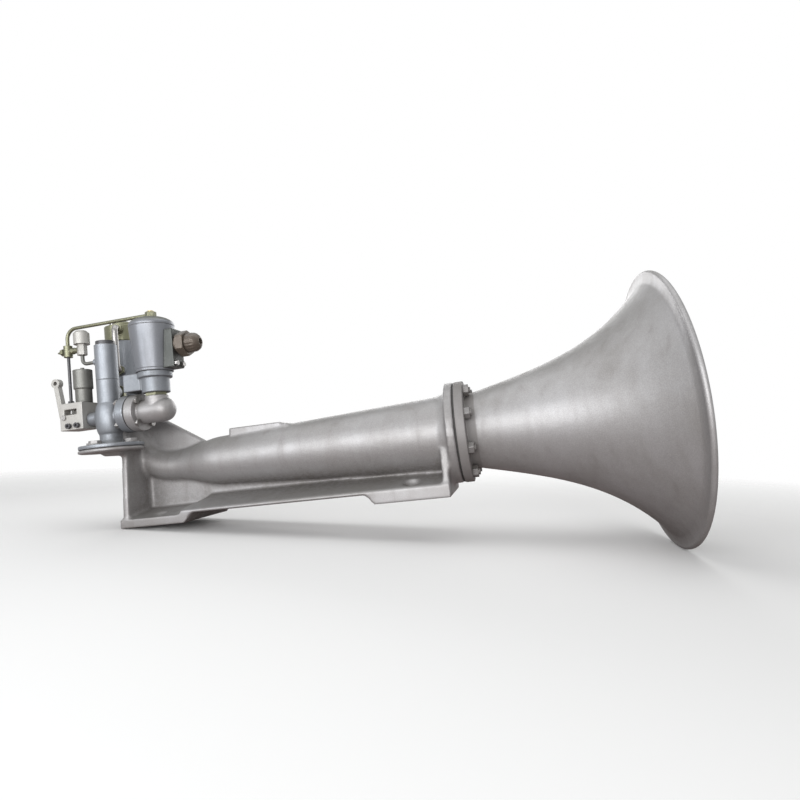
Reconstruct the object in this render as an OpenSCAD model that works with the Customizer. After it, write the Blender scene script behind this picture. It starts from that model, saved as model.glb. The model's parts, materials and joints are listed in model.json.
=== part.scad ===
// Ship's air horn: flared bell on a cast body with a footed base, a rear elbow
// that carries the sound head, and the valve gear standing beside it.
// The origin is the centre of the four foot holes, on the plane the feet stand on.
// +X runs along the horn axis towards the bell mouth and +Z is up.

/* [Base] */
// Length of the cast base between its end faces
base_len = 564; // [530:1:620]
// Width of the base plate and feet
base_w = 140; // [128:1:170]
// Height of the horn axis above the feet
axis_h = 96; // [92:1:108]
// Length of each foot along the base
foot_len = 120; // [95:1:150]
// Height of the feet below the middle of the base plate
foot_t = 15; // [10:0.5:20]
// Thickness of the base plate at its edges
plate_t = 6; // [5:0.5:9]
// Thickness of the upright web under the tube
web_t = 10; // [6:0.5:18]
// Thickness of the end walls
end_wall_t = 11; // [7:0.5:16]
// Height of the front end wall
front_wall_h = 77; // [60:1:95]
// Distance between foot holes along the base
hole_span_x = 440; // [400:1:470]
// Distance between foot holes across the base
hole_span_y = 100; // [84:1:108]
// Diameter of the foot holes
foot_hole_d = 14; // [9:0.5:18]

/* [Horn tube] */
// Outer radius of the tube at the bell flange
tube_front_r = 62.5; // [58:0.5:66]
// Outer radius of the tube where its straight taper ends
tube_rear_r = 38; // [35:0.5:44]
// Outer radius of the elbow pipe
elbow_pipe_r = 26; // [23:0.5:30]
// Radius of the elbow along its centre line
elbow_bend_r = 98; // [92:1:108]
// Length over which the tube narrows into the elbow
narrow_len = 85; // [50:1:120]
// Wall thickness of the cast tube and elbow
tube_wall = 6; // [4:0.5:8]
// Radius of the flange under the sound head
head_flange_r = 47; // [47:0.5:54]
// Thickness of the flange under the sound head
head_flange_t = 12; // [8:0.5:16]

/* [Bell] */
// Length of the bell from its flange face to the rim
bell_len = 307; // [270:1:340]
// Outer radius of the bell at the rim
mouth_r = 207.5; // [180:0.5:230]
// Outer radius of the bell where it leaves its flange
throat_r = 55; // [50:0.5:57]
// Wall thickness of the bell
bell_wall = 4.5; // [3:0.5:6]
// Radius of the rolled bead at the rim
rim_bead_r = 4; // [3:0.5:6]
// Radius of the bell flange joint
joint_r = 81.5; // [80:0.5:88]
// Thickness of each flange of the joint
joint_t = 14; // [10:0.5:18]
// Number of studs in the joint
joint_studs = 8; // [6:1:10]
// Radius of the joint studs
stud_r = 5; // [4:0.5:6]
// Thickness of the gaskets
gasket_t = 2; // [1:0.5:3]

/* [Sound head] */
// Distance of the head axis behind the base centre
head_back = 306; // [300:1:312]
// Outer radius of the head barrel and its cover
barrel_r = 29.5; // [27:0.5:31]
// Height of the head barrel above its flange
barrel_h = 118; // [108:1:125]
// Height of the cover on the barrel
cover_h = 36; // [30:1:42]
// Inner radius of the liner
liner_r = 17; // [15:0.5:18]
// Travel of the sounding piston
piston_travel = 8; // [4:0.5:12]
// Distance of the balance pipe from the head axis
balance_reach = 52; // [50:1:58]

/* [Main valve] */
// Distance of the valve axis behind the base centre
valve_back = 278; // [273:1:284]
// Distance of the valve axis to the side of the horn axis
valve_side = 80; // [78:1:88]
// Height of the cast stand that carries the valve
stand_h = 137; // [133:1:141]
// Radius of the stand and the valve foot
stand_r = 50.5; // [46:0.5:54]
// Thickness of the stand
stand_t = 7; // [6:0.5:10]
// Thickness of the valve foot
valve_foot_t = 6; // [5:0.5:8]
// Outer radius of the valve barrel and cylinder
cylinder_r = 17.5; // [16.5:0.5:20]
// Outer radius of the bulged valve chamber
chamber_r = 22.5; // [20:0.5:25]
// Height of the valve cylinder above the valve barrel
cylinder_h = 60; // [56:1:70]
// Bore radius of the valve cylinder
cylinder_bore_r = 11; // [10:0.5:12]
// Lift of the valve
valve_lift = 8; // [4:0.5:10]
// Height of the side port axis above the feet
port_h = 190; // [187:1:193]
// Radius of the oval joint at the side port
port_flange_r = 31; // [30:0.5:34]
// Thickness of each flange of the side port
port_flange_t = 15; // [10:0.5:16]

/* [Feed and solenoid] */
// Distance of the solenoid axis ahead of the valve axis
feed_reach = 91; // [90:1:100]
// Outer radius of the feed chamber
feed_pipe_r = 20; // [18:0.5:21]
// Length of the feed chamber past the solenoid axis, without its domed end
feed_past = 13; // [8:1:20]
// Radius of the solenoid housing at its foot
can_foot_r = 29.5; // [28:0.5:31]
// Radius of the solenoid housing at its shoulder
can_top_r = 36; // [33:0.5:40]
// Height of the solenoid housing up to its shoulder
can_h = 79; // [74:1:86]
// Rise of the domed top of the housing
can_dome_h = 15; // [10:1:20]
// Wall thickness of the solenoid housing
can_wall = 2; // [1.5:0.5:3]
// Radius of the solenoid plunger
plunger_r = 7.7; // [6.7:0.1:8.2]
// Travel of the solenoid plunger
plunger_travel = 6; // [3:0.5:8]
// Radius of the air inlet bore
inlet_r = 9.5; // [7:0.5:10]
// Radius of the cable hole through the gland
cable_hole_r = 5; // [3:0.5:7]
// Height of the cable gland above the housing foot
gland_rise = 40; // [36:1:46]

/* [Hand valve] */
// Distance of the hand valve axis behind the valve axis
hand_reach = 48; // [46:1:50]
// Length of the hand valve block
block_len = 44; // [42:1:50]
// Height of the hand valve block
block_h = 46; // [44:1:52]
// Depth of the hand valve block
block_w = 40; // [36:1:50]
// Distance from the lever pivot to the hand valve axis
lever_reach = 24; // [20:0.5:26]
// Height of the lever above its pivot
lever_h = 64; // [55:1:80]
// Thickness of the lever
lever_t = 9; // [6:0.5:11]
// Radius of the lever pivot pin
pivot_r = 3; // [2.5:0.1:4]
// Largest turn of the lever
lever_turn = 10; // [5:1:12]
// Radius of the pilot pipes
pilot_r = 3; // [2:0.5:4]

/* [Hidden] */
$fn = 64;

// Radial gap of a running fit
fit = 0.05;
// Gap that keeps a loose piece clear of its neighbour
clear = 0.5;
// Overlap that joins the shapes of one piece
bite = 1;
// Facets of a hexagon
hex = 6;
// Corner radius of a hexagon head over the radius of its thread
hex_ratio = 1.95;

// Horn body
head_x = -head_back;
elbow_start_x = head_x + elbow_bend_r;
elbow_top_z = axis_h + elbow_bend_r;
head_seat_z = elbow_top_z + head_flange_t - 3;
flange_past = 3;
flange_x = base_len / 2 + flange_past;
joint_x = flange_x + joint_t;
bore_r = elbow_pipe_r - tube_wall;
bore_front_r = throat_r - bell_wall;
foot_edge_t = 14;
foot_ridge_h = 24;
plate_ridge_h = 23;
ridge_past = 7;
ridge_half = web_t / 2 + ridge_past;
foot_slope = 14;
foot_inner = base_len / 2 - foot_len;
spot_r = 13;
rear_wall_in = 6;
rear_wall_x = rear_wall_in - base_len / 2;
gusset_len = 152;
pad_h = 53;
edge_r = 6;
stand_low_z = stand_h - stand_t;

// Bell
bell_x = joint_x + gasket_t;
bell_steps = 36;
narrow_steps = 8;
flare_low = 0.47;
flare_mid = 0.5;
nut_t = 9;
nut_r = hex_ratio * stud_r;

// Sound head
head_foot_z = head_seat_z + gasket_t;
head_foot_t = 12;
barrel_top_z = head_foot_z + barrel_h + head_foot_t;
cover_spigot = 8;
liner_t = 3;
liner_gap = 2;
liner_base_z = head_foot_z + head_foot_t + liner_gap;
liner_top_z = barrel_top_z - cover_spigot - liner_gap;
liner_outer_r = liner_r + liner_t;
piston_h = 32;
piston_rise = 26;
piston_base_z = liner_base_z + piston_rise;
piston_top_z = piston_base_z + piston_h;
head_stud_r = 4;
head_pcd_r = (barrel_r + head_flange_r) / 2;
head_nut_t = 7;
cover_pcd_r = (barrel_r + liner_outer_r) / 2;
cover_screw_r = 2;
cover_screw_in = 11;
cover_hole_in = cover_screw_in + 1;
cover_shoulder = 6;
spring_pocket_r = 13;
spring_past = 12;
spring_top_z = barrel_top_z + spring_past;
piston_stop_z = piston_top_z + piston_travel;
balance_angle = -65;
balance_r = 5;
balance_wall = 1;
balance_bore_r = balance_r - balance_wall;
balance_boss_r = 9;
balance_boss_t = 4;
balance_nut_t = 7;
balance_bend_r = 9;
balance_drop = 57;
balance_rise = 20;
balance_low_z = barrel_top_z - balance_drop;
balance_high_z = barrel_top_z + balance_rise;

// Main valve
valve_x = -valve_back;
valve_y = -valve_side;
valve_foot_z = stand_h + valve_foot_t;
seat_rise = 18;
seat_z = port_h + seat_rise;
seat_t = 5;
link_rise = 18;
link_z = head_foot_z + head_foot_t + link_rise;
valve_top_z = link_z + link_rise;
cylinder_top_z = valve_top_z + cylinder_h;
link_dx = head_x - valve_x;
link_dy = -valve_y;
link_angle = atan2(link_dy, link_dx);
link_len = norm([link_dx, link_dy]);
link_bore_r = 8;
link_boss_r = 13;
link_boss_reach = 30;
link_sleeve_t = 11;
link_sleeve_r = 17;
spigot_wall = 3.5;
upper_bore_r = cylinder_r - spigot_wall;
chamber_wall = 7;
chamber_drop = 16;
seat_shelf_t = 3;
chamber_bore_r = chamber_r - chamber_wall;
seat_bore_r = 7;
seat_r = upper_bore_r - 1.5;
poppet_r = cylinder_bore_r + 0.5;
seal_t = 2;
side_boss_t = 4;
side_boss_r = 12;
spigot_t = 8;
drive_rise = 18;
piston_low_z = valve_top_z + drive_rise;
piston_len = 14;
cap_plug_t = 6;
poppet_stop_z = piston_low_z + piston_len + valve_lift;
stop_pin_r = 4;
cap_t = 7;
foot_bolt_in = 13;
foot_pcd_r = stand_r - foot_bolt_in;
foot_bolt_r = 5;

// Side port
port_reach = 47;
port_x = valve_x + port_reach - port_flange_t;
port_bolt_r = 3;
port_pcd_r = feed_pipe_r + hex_ratio * port_bolt_r * cos(30) + clear;
port_bore_r = 12;
port_boss_r = 14;

// Feed and solenoid
feed_x = valve_x + feed_reach;
feed_step = 1.5;
feed_neck_r = feed_pipe_r - feed_step;
feed_dome_len = 17;
spigot_rise = 4;
feed_top_z = port_h + feed_pipe_r + spigot_rise;
nipple_hex_t = 5;
sol_z = feed_top_z + nipple_hex_t;
nipple_r = 10.5;
nipple_bore_r = 6;
nipple_hex_r = 18;
nipple_in = 5;
sol_neck_r = 22;
sol_neck_h = 25;
sol_flange_r = 27;
sol_flange_t = 10;
can_z = sol_z + sol_neck_h + sol_flange_t;
sol_floor_t = 3;
sol_floor_z = sol_z + nipple_in + sol_floor_t;
sol_void_r = 13;
sol_seat_r = 8.5;
plunger_drop = 3;
plunger_z = can_z - plunger_drop;
plunger_len = 39;
inlet_back = 32;
inlet_x = feed_x - inlet_back;
inlet_boss_r = 14;
inlet_lift = 3;
inlet_z = port_h + port_flange_r + inlet_lift + inlet_boss_r;
inlet_side = 32;
inlet_face_y = valve_y + inlet_side;
inlet_depth = 26;
plug_r = 4;
plug_depth = 6;
air_passage_r = 3.5;
air_passage_lift = 4;
air_passage_z = sol_floor_z + air_passage_lift;
inlet_block_len = 48;
block_left_x = feed_x - inlet_block_len;
block_side = 18;
core_r = plunger_r + fit;
core_wall = 1.8;
core_foot_r = 20;
core_foot_t = 3;
plunger_spring_len = 9;
pole_z = plunger_z + plunger_len + plunger_travel + plunger_spring_len;
can_shoulder_z = can_z + can_h;
can_top_z = can_shoulder_z + can_dome_h;
can_stud_r = 5;
housing_nut_r = 9;
banjo_wall = 1.5;
housing_nut_t = 2 * (pilot_r + banjo_wall);
coil_lift = 2;
coil_low_z = can_z + core_foot_t + can_wall + coil_lift;
coil_drop = 8;
coil_high_z = can_shoulder_z - coil_drop;
coil_gap = 2.5;
coil_r = can_foot_r - can_wall - coil_gap;
gland_z = can_z + gland_rise;
box_w = 30;
box_lift = 2;
box_low_z = can_z + box_lift;
box_rise = 26;
box_high_z = gland_z + box_rise;
box_reach = 10;
box_screw_in = 6;
box_face_x = feed_x + can_top_r + box_reach;
gland_neck_r = 14;
gland_neck_len = 6;
gland_hex_r = 22;
gland_hex_len = 14;
gland_dome_r = 16;
gland_dome_len = 22;

// Hand valve
hand_x = valve_x - hand_reach;
pivot_x = hand_x - lever_reach;
pivot_rise = 6;
pivot_z = port_h + pivot_rise;
arm_t = 6;
arm_top_z = pivot_z + arm_t / 2;
block_past = 12;
block_right_x = hand_x + block_past;
block_drop = 16;
block_low_z = port_h - block_drop;
block_top_z = block_low_z + block_h;
slot_w = lever_t + 2 * clear;
slot_drop = 8;
slot_low_z = pivot_z - slot_drop;
plunger_foot_t = 4;
slot_spare = 6;
slot_high_z = arm_top_z + plunger_foot_t + lever_reach * sin(lever_turn) + slot_spare;
window_lift = 4;
window_low_z = pivot_z + window_lift;
window_h = 9;
screw_in = 10;
screw_step = 16;
block_screw_rise = 7;
block_screw_x = [block_right_x - screw_in, block_right_x - screw_in - screw_step];
lever_offset = 28;
lever_lean = 9;
bonnet_neck_r = 13;
bonnet_neck_h = 24;
cup_r = 15;
cup_h = 33;
cup_wall = 3;
rod_r = 3;
collar_r = 9;
collar_t = 3;
collar_lift = 5;
collar_z = block_top_z + bonnet_neck_h + collar_lift;
tee_gap = 8;
tee_x = hand_x - cup_r - pilot_r - tee_gap;
tee_z = cylinder_top_z;
tee_r = 7;
tee_h = 20;
pilot_z = can_top_z + housing_nut_t / 2;
pilot_bend_r = 18;
shuttle_past = 2;
shuttle_x = hand_x + shuttle_past;
shuttle_r = 12.5;
shuttle_hex_r = 8;
shuttle_lift = 2;
shuttle_z = cylinder_top_z + cap_t + shuttle_lift;
shuttle_gap = 4;
shuttle_h = pilot_z - pilot_r - shuttle_gap - shuttle_z;
side_boss_drop = 26;
side_boss_z = cylinder_top_z - side_boss_drop;

// Outer radius of the straight taper of the tube at x
taper_len = flange_x - elbow_start_x;
function taper_r(x) = tube_front_r + (tube_rear_r - tube_front_r) * (flange_x - x) / taper_len;

// Blend that leaves and arrives level
function ease(u) = u * u * (3 - 2 * u);

// Outer radius of the narrowing part, u from 0 at the elbow to 1 at the taper
function narrow_r(u) = elbow_pipe_r + (taper_r(elbow_start_x + u * narrow_len) - elbow_pipe_r) * ease(u);

// Outer radius of the bell at share u of its length
function flare(u) = flare_low * u + flare_mid * pow(u, 4) + (1 - flare_low - flare_mid) * pow(u, 12);
function bell_r(u) = throat_r + (mouth_r - rim_bead_r - throat_r) * flare(u);

// The stud circle leaves the flat of a nut just clear of the flare
joint_pcd_r = bell_r((joint_t + nut_t) / bell_len) + nut_r * cos(30) + clear;

// A revolved shape about the horn axis from points of [x, radius]
module around_axis(points) {
    translate([0, 0, axis_h])
        rotate([0, 90, 0])
            rotate_extrude(convexity = 6)
                polygon([for (p = points) [p[1], p[0]]]);
}

// A round bar along X
module bar_x(x, length, radius, sides = $fn) {
    translate([x, 0, 0])
        rotate([0, 90, 0])
            cylinder(h = length, r = radius, $fn = sides);
}

// A round bar along Z
module bar_z(z, height, radius, sides = $fn) {
    translate([0, 0, z])
        cylinder(h = height, r = radius, $fn = sides);
}

// A ring along Z
module ring_z(z, height, outer, inner) {
    difference() {
        bar_z(z, height, outer);
        bar_z(z - bite, height + 2 * bite, inner);
    }
}

// Children at count places on a circle about Z
module on_circle(count, radius, first = 0) {
    for (i = [0 : count - 1])
        rotate([0, 0, first + i * 360 / count])
            translate([radius, 0, 0])
                children();
}

// Part of a ring in the XZ plane, from angle first through turn degrees
module bend(radius, pipe, first, turn) {
    rotate([90, 0, 0])
        rotate([0, 0, first])
            rotate_extrude(angle = turn)
                translate([radius, 0])
                    circle(r = pipe);
}

module at_head() {
    translate([head_x, 0, 0]) children();
}

module at_valve() {
    translate([valve_x, valve_y, 0]) children();
}

module at_feed() {
    translate([feed_x, valve_y, 0]) children();
}

module at_hand() {
    translate([hand_x, valve_y, 0]) children();
}

// A coil spring of round wire standing at z
module coil_spring(z, height, radius, wire, turns) {
    sides = 8;
    per_turn = 20;
    steps = turns * per_turn;
    rise = (height - 2 * wire) / steps;
    points = [
        for (i = [0 : steps], k = [0 : sides - 1])
            let (turn = i * 360 / per_turn, a = k * 360 / sides, reach = radius + wire * cos(a))
            [reach * cos(turn), reach * sin(turn), z + wire + i * rise + wire * sin(a)]
    ];
    walls = [
        for (i = [0 : steps - 1], k = [0 : sides - 1])
            let (n = (k + 1) % sides)
            [i * sides + k, (i + 1) * sides + k, (i + 1) * sides + n, i * sides + n]
    ];
    ends = [
        [for (k = [0 : sides - 1]) k],
        [for (k = [0 : sides - 1]) steps * sides + sides - 1 - k]
    ];
    polyhedron(points = points, faces = concat(walls, ends), convexity = 10);
}

// A side view in the XZ plane, extruded past both edges of the base
module base_side(points) {
    rotate([90, 0, 0])
        translate([0, 0, -base_w / 2 - bite])
            linear_extrude(height = base_w + 2 * bite)
                polygon(points);
}

// Length of base plate whose top slopes up from its edges to the web
module plate_run(first_x, last_x, low_z, edge_t, ridge_h) {
    translate([first_x, 0, low_z])
        rotate([90, 0, 90])
            linear_extrude(height = last_x - first_x)
                polygon([
                    [-base_w / 2, 0], [base_w / 2, 0], [base_w / 2, edge_t],
                    [ridge_half, ridge_h], [-ridge_half, ridge_h], [-base_w / 2, edge_t]
                ]);
}

// Base plate: a raised middle, a rear foot that steps down and a front foot below
module base_plate() {
    rear_x = -base_len / 2;
    front_x = base_len / 2;
    step_x = -foot_inner + foot_slope;
    top_z = foot_t + plate_ridge_h + bite;
    intersection() {
        plate_run(rear_x, step_x + bite, 0, foot_edge_t, foot_ridge_h);
        base_side([
            [rear_x - bite, -bite], [-foot_inner - foot_slope / foot_t, -bite],
            [step_x, foot_t], [step_x, top_z], [rear_x - bite, top_z]
        ]);
    }
    intersection() {
        plate_run(-foot_inner - foot_slope, front_x, foot_t, plate_t, plate_ridge_h);
        base_side([
            [-foot_inner - foot_slope / 2, foot_t - bite], [-foot_inner - foot_slope / 2, foot_ridge_h - 2],
            [step_x + 4, top_z], [front_x + bite, top_z], [front_x + bite, foot_t - bite]
        ]);
    }
    intersection() {
        translate([0, -base_w / 2, 0])
            cube([front_x, base_w, foot_t + bite]);
        base_side([
            [front_x + bite, -bite], [foot_inner + foot_slope / foot_t, -bite],
            [foot_inner - foot_slope - foot_slope / foot_t, foot_t + bite], [front_x + bite, foot_t + bite]
        ]);
    }
}

// Upright wall across the base, a little narrower at its top
module end_wall(x, height) {
    top_w = base_w - 14;
    translate([x, 0, 0])
        rotate([90, 0, 90])
            linear_extrude(height = end_wall_t)
                polygon([
                    [-base_w / 2, 0], [base_w / 2, 0],
                    [top_w / 2, height - edge_r], [top_w / 2 - edge_r, height],
                    [edge_r - top_w / 2, height], [-top_w / 2, height - edge_r]
                ]);
}

// Web between the tube and the base plate, and the gusset above the elbow
module webs() {
    gusset_x = head_x + head_flange_r - 4;
    tube_x = head_x + gusset_len;
    rotate([90, 0, 0])
        translate([0, 0, -web_t / 2])
            linear_extrude(height = web_t) {
                polygon([
                    [rear_wall_x + bite, foot_t], [base_len / 2 - bite, foot_t],
                    [base_len / 2 - bite, axis_h], [head_x + elbow_bend_r / 2, axis_h],
                    [rear_wall_x + end_wall_t, elbow_top_z - elbow_bend_r * 0.6],
                    [rear_wall_x + bite, elbow_top_z - elbow_bend_r * 0.6]
                ]);
                polygon([
                    [gusset_x, head_seat_z - bite], [tube_x, axis_h + taper_r(tube_x) - bite],
                    [tube_x, axis_h], [head_x, axis_h + elbow_bend_r / 2], [head_x, elbow_top_z]
                ]);
            }
}

// Points of [x, radius] along the narrowing part of the tube
function narrow_points(inset) = [
    for (i = [0 : narrow_steps])
        [elbow_start_x + i * narrow_len / narrow_steps, narrow_r(i / narrow_steps) - inset]
];

// Quarter of a round pipe between the head flange and the tube
module elbow(radius) {
    translate([elbow_start_x, 0, elbow_top_z])
        bend(elbow_bend_r, radius, 180, 90);
}

// Air passage through the elbow and tube
module body_bore() {
    elbow(bore_r);
    at_head()
        bar_z(elbow_top_z, head_flange_t, bore_r);
    around_axis(concat(
        [[elbow_start_x, 0]],
        narrow_points(tube_wall),
        [[joint_x + bite, bore_front_r], [joint_x + bite, 0]]
    ));
}

// Raised seat on top of the tube
module top_pad() {
    pad_x = -95;
    pad_len = 108;
    pad_step = 12;
    pad_w = 46;
    translate([pad_x, -pad_w / 2, axis_h])
        cube([pad_len - pad_step, pad_w, pad_h]);
    translate([pad_x, -pad_w / 2, axis_h])
        cube([pad_len, pad_w, pad_h - 3]);
}

// Disc and arm that carry the valve beside the elbow
module valve_stand() {
    arm_w = 34;
    arm_t = stand_t + 6;
    at_valve()
        bar_z(stand_low_z, stand_t, stand_r);
    translate([valve_x - arm_w * 0.6, valve_y, stand_h - arm_t])
        cube([arm_w, valve_side, arm_t]);
}

// Holes of the bell joint
module joint_holes(x, length) {
    translate([x, 0, axis_h])
        rotate([0, 90, 0])
            on_circle(joint_studs, joint_pcd_r, 180 / joint_studs)
                cylinder(h = length, r = stud_r + fit);
}

// Outside of the tube with its flange
module tube_shape() {
    around_axis(concat(
        [[elbow_start_x, 0]],
        narrow_points(0),
        [
            [flange_x - joint_t, taper_r(flange_x - joint_t)],
            [flange_x, tube_front_r + edge_r], [flange_x, joint_r],
            [joint_x, joint_r], [joint_x, 0]
        ]
    ));
}

module horn_body() {
    color("silver")
        difference() {
            union() {
                base_plate();
                end_wall(rear_wall_x, stand_h - edge_r / 2);
                end_wall(base_len / 2 - end_wall_t, front_wall_h);
                webs();
                elbow(elbow_pipe_r);
                tube_shape();
                at_head()
                    bar_z(head_seat_z - head_flange_t, head_flange_t, head_flange_r);
                valve_stand();
                top_pad();
            }
            body_bore();
            for (x = [-1, 1], y = [-1, 1])
                translate([x * hole_span_x / 2, y * hole_span_y / 2, 0]) {
                    bar_z(-bite, foot_t + plate_ridge_h + bite, foot_hole_d / 2);
                    bar_z(x < 0 ? foot_edge_t : foot_t + plate_t, plate_ridge_h, spot_r);
                }
            joint_holes(flange_x + 3, joint_t);
            at_head()
                on_circle(4, head_pcd_r, link_angle + 45)
                    bar_z(head_seat_z - head_flange_t + 2, head_flange_t, head_stud_r + fit);
            at_valve()
                on_circle(4, foot_pcd_r)
                    bar_z(stand_low_z - bite, stand_t + 2 * bite, foot_bolt_r + fit);
        }
}

// Outer or inner surface of the flare as points of [x, radius]
function flare_points(first, inset) = [
    for (i = [first : bell_steps])
        [bell_x + bell_len * i / bell_steps, bell_r(i / bell_steps) - inset]
];

module bell() {
    neck_x = bell_x + joint_t;
    end_x = bell_x + bell_len;
    first = ceil(bell_steps * joint_t / bell_len);
    color("silver")
        union() {
            difference() {
                around_axis(concat(
                    [[bell_x, 0], [bell_x, joint_r], [neck_x, joint_r], [neck_x, bell_r(joint_t / bell_len)]],
                    flare_points(first, 0),
                    [[end_x, 0]]
                ));
                around_axis(concat(
                    [[bell_x - bite, 0], [bell_x - bite, throat_r - bell_wall]],
                    flare_points(0, bell_wall),
                    [[end_x + bite, bell_r(1) - bell_wall], [end_x + bite, 0]]
                ));
                joint_holes(bell_x - bite, joint_t + 2 * bite);
            }
            translate([end_x - rim_bead_r, 0, axis_h])
                rotate([0, 90, 0])
                    rotate_extrude()
                        translate([mouth_r - rim_bead_r, 0])
                            circle(r = rim_bead_r);
        }
}

module bell_gasket() {
    color("dimgray")
        difference() {
            translate([joint_x, 0, axis_h])
                rotate([0, 90, 0])
                    cylinder(h = gasket_t, r = joint_r - 1);
            translate([joint_x - bite, 0, axis_h])
                rotate([0, 90, 0])
                    cylinder(h = gasket_t + 2 * bite, r = bore_front_r);
            joint_holes(joint_x - bite, gasket_t + 2 * bite);
        }
}

module bell_studs() {
    stud_x = flange_x + 3.5;
    color("gray")
        translate([stud_x, 0, axis_h])
            rotate([0, 90, 0])
                on_circle(joint_studs, joint_pcd_r, 180 / joint_studs)
                    cylinder(h = bell_x + joint_t + nut_t + 3 - stud_x, r = stud_r);
}

module bell_nuts() {
    color("silver")
        translate([bell_x + joint_t, 0, axis_h])
            rotate([0, 90, 0])
                on_circle(joint_studs, joint_pcd_r, 180 / joint_studs)
                    difference() {
                        rotate([0, 0, 30])
                            cylinder(h = nut_t, r = nut_r, $fn = hex);
                        translate([0, 0, -bite])
                            cylinder(h = nut_t + 2 * bite, r = stud_r + fit);
                    }
}

module head_gasket() {
    color("dimgray")
        at_head()
            difference() {
                ring_z(head_seat_z, gasket_t, head_flange_r - 1, bore_r);
                on_circle(4, head_pcd_r, link_angle + 45)
                    bar_z(head_seat_z - bite, gasket_t + 2 * bite, head_stud_r + fit);
            }
}

// Round bar from the head axis towards the valve, at the height of the air link
module head_port(radius, length) {
    at_head()
        translate([0, 0, link_z])
            rotate([0, 0, link_angle + 180])
                bar_x(0, length, radius);
}

// Round bars at both ends of the balance pipe, out to the given reach
module balance_ports(radius, reach) {
    at_head()
        for (z = [balance_low_z, balance_high_z])
            translate([0, 0, z])
                rotate([0, 0, balance_angle])
                    bar_x(0, reach, radius);
}

module head_body() {
    boss_len = link_len - link_boss_reach - link_sleeve_t;
    color("slategray")
        difference() {
            union() {
                at_head() {
                    bar_z(head_foot_z, head_foot_t, head_flange_r);
                    bar_z(head_foot_z, barrel_top_z - head_foot_z, barrel_r);
                }
                head_port(link_boss_r, boss_len);
                intersection() {
                    balance_ports(balance_boss_r, barrel_r + balance_boss_t);
                    at_head()
                        bar_z(head_foot_z, barrel_top_z - head_foot_z, head_flange_r);
                }
            }
            at_head() {
                bar_z(head_foot_z - bite, barrel_top_z, liner_r);
                bar_z(liner_base_z, barrel_top_z, liner_outer_r + fit);
                on_circle(4, head_pcd_r, link_angle + 45)
                    bar_z(head_foot_z - bite, head_foot_t + 2 * bite, head_stud_r + fit);
                on_circle(4, cover_pcd_r)
                    bar_z(barrel_top_z - cover_hole_in, cover_hole_in + bite, cover_screw_r + fit);
            }
            head_port(link_bore_r, boss_len + bite);
            balance_ports(balance_bore_r, barrel_r + balance_boss_t + bite);
        }
}

module head_liner() {
    color("goldenrod")
        difference() {
            at_head()
                ring_z(liner_base_z, liner_top_z - liner_base_z, liner_outer_r, liner_r);
            head_port(link_bore_r, barrel_r);
            balance_ports(balance_bore_r, barrel_r);
        }
}

module head_studs() {
    low_z = head_seat_z - head_flange_t + 2.5;
    nut_z = head_foot_z + head_foot_t;
    color("gray")
        at_head()
            on_circle(4, head_pcd_r, link_angle + 45) {
                bar_z(low_z, nut_z + head_nut_t + 3 - low_z, head_stud_r);
                bar_z(nut_z, head_nut_t, hex_ratio * head_stud_r, hex);
            }
}

module head_cover() {
    dome_r = barrel_r - 9;
    shoulder_z = barrel_top_z + cover_h - cover_shoulder;
    color("olive")
        difference() {
            union() {
                at_head() {
                    bar_z(barrel_top_z, cover_h - cover_shoulder, barrel_r);
                    bar_z(barrel_top_z, cover_h, dome_r);
                    translate([0, 0, barrel_top_z + cover_h - bite])
                        cylinder(h = 5, r1 = dome_r, r2 = dome_r - 7);
                    bar_z(barrel_top_z - cover_spigot, cover_spigot + bite, liner_outer_r);
                    bar_z(piston_stop_z, barrel_top_z - piston_stop_z, liner_r - clear);
                }
                intersection() {
                    balance_ports(balance_boss_r, barrel_r + balance_boss_t);
                    at_head()
                        bar_z(barrel_top_z, cover_h, head_flange_r);
                }
            }
            at_head() {
                bar_z(piston_stop_z - bite, spring_top_z - piston_stop_z + bite, spring_pocket_r);
                on_circle(4, cover_pcd_r)
                    bar_z(barrel_top_z - bite, shoulder_z - barrel_top_z + 2 * bite, cover_screw_r + fit);
            }
            balance_ports(balance_bore_r, barrel_r + balance_boss_t + bite);
        }
}

module cover_screws() {
    head_z = barrel_top_z + cover_h - cover_shoulder;
    screw_z = barrel_top_z - cover_screw_in;
    head_r = 3;
    head_t = 5;
    color("gray")
        at_head()
            on_circle(4, cover_pcd_r) {
                bar_z(screw_z, head_z + bite - screw_z, cover_screw_r);
                difference() {
                    bar_z(head_z, head_t, head_r);
                    bar_z(head_z + head_t / 2, head_t, head_r / 2, hex);
                }
            }
}

module sound_piston() {
    skirt_t = 3;
    crown_t = 6;
    groove_t = 2;
    color("lightsteelblue")
        at_head()
            difference() {
                bar_z(piston_base_z, piston_h, liner_r - fit);
                bar_z(piston_base_z - bite, piston_h - crown_t + bite, liner_r - skirt_t);
                for (z = [piston_base_z + 9, piston_base_z + 17])
                    ring_z(z, groove_t, liner_r + 1, liner_r - 1);
            }
}

module piston_spring() {
    color("darkgray")
        at_head()
            coil_spring(piston_top_z, spring_top_z - piston_top_z, spring_pocket_r - 3, 1.2, 6);
}

// The bent run of the balance pipe, as a bar of the given radius
module balance_run(radius, extra) {
    start = barrel_r + balance_boss_t - extra;
    corner_x = balance_reach - balance_bend_r;
    for (z = [balance_low_z, balance_high_z])
        translate([0, 0, z])
            bar_x(start, corner_x - start, radius);
    bar_low_z = balance_low_z + balance_bend_r;
    bar_high_z = balance_high_z - balance_bend_r;
    translate([balance_reach, 0, 0])
        bar_z(bar_low_z, bar_high_z - bar_low_z, radius);
    translate([corner_x, 0, bar_high_z])
        bend(balance_bend_r, radius, 0, 90);
    translate([corner_x, 0, bar_low_z])
        bend(balance_bend_r, radius, 270, 90);
}

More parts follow.
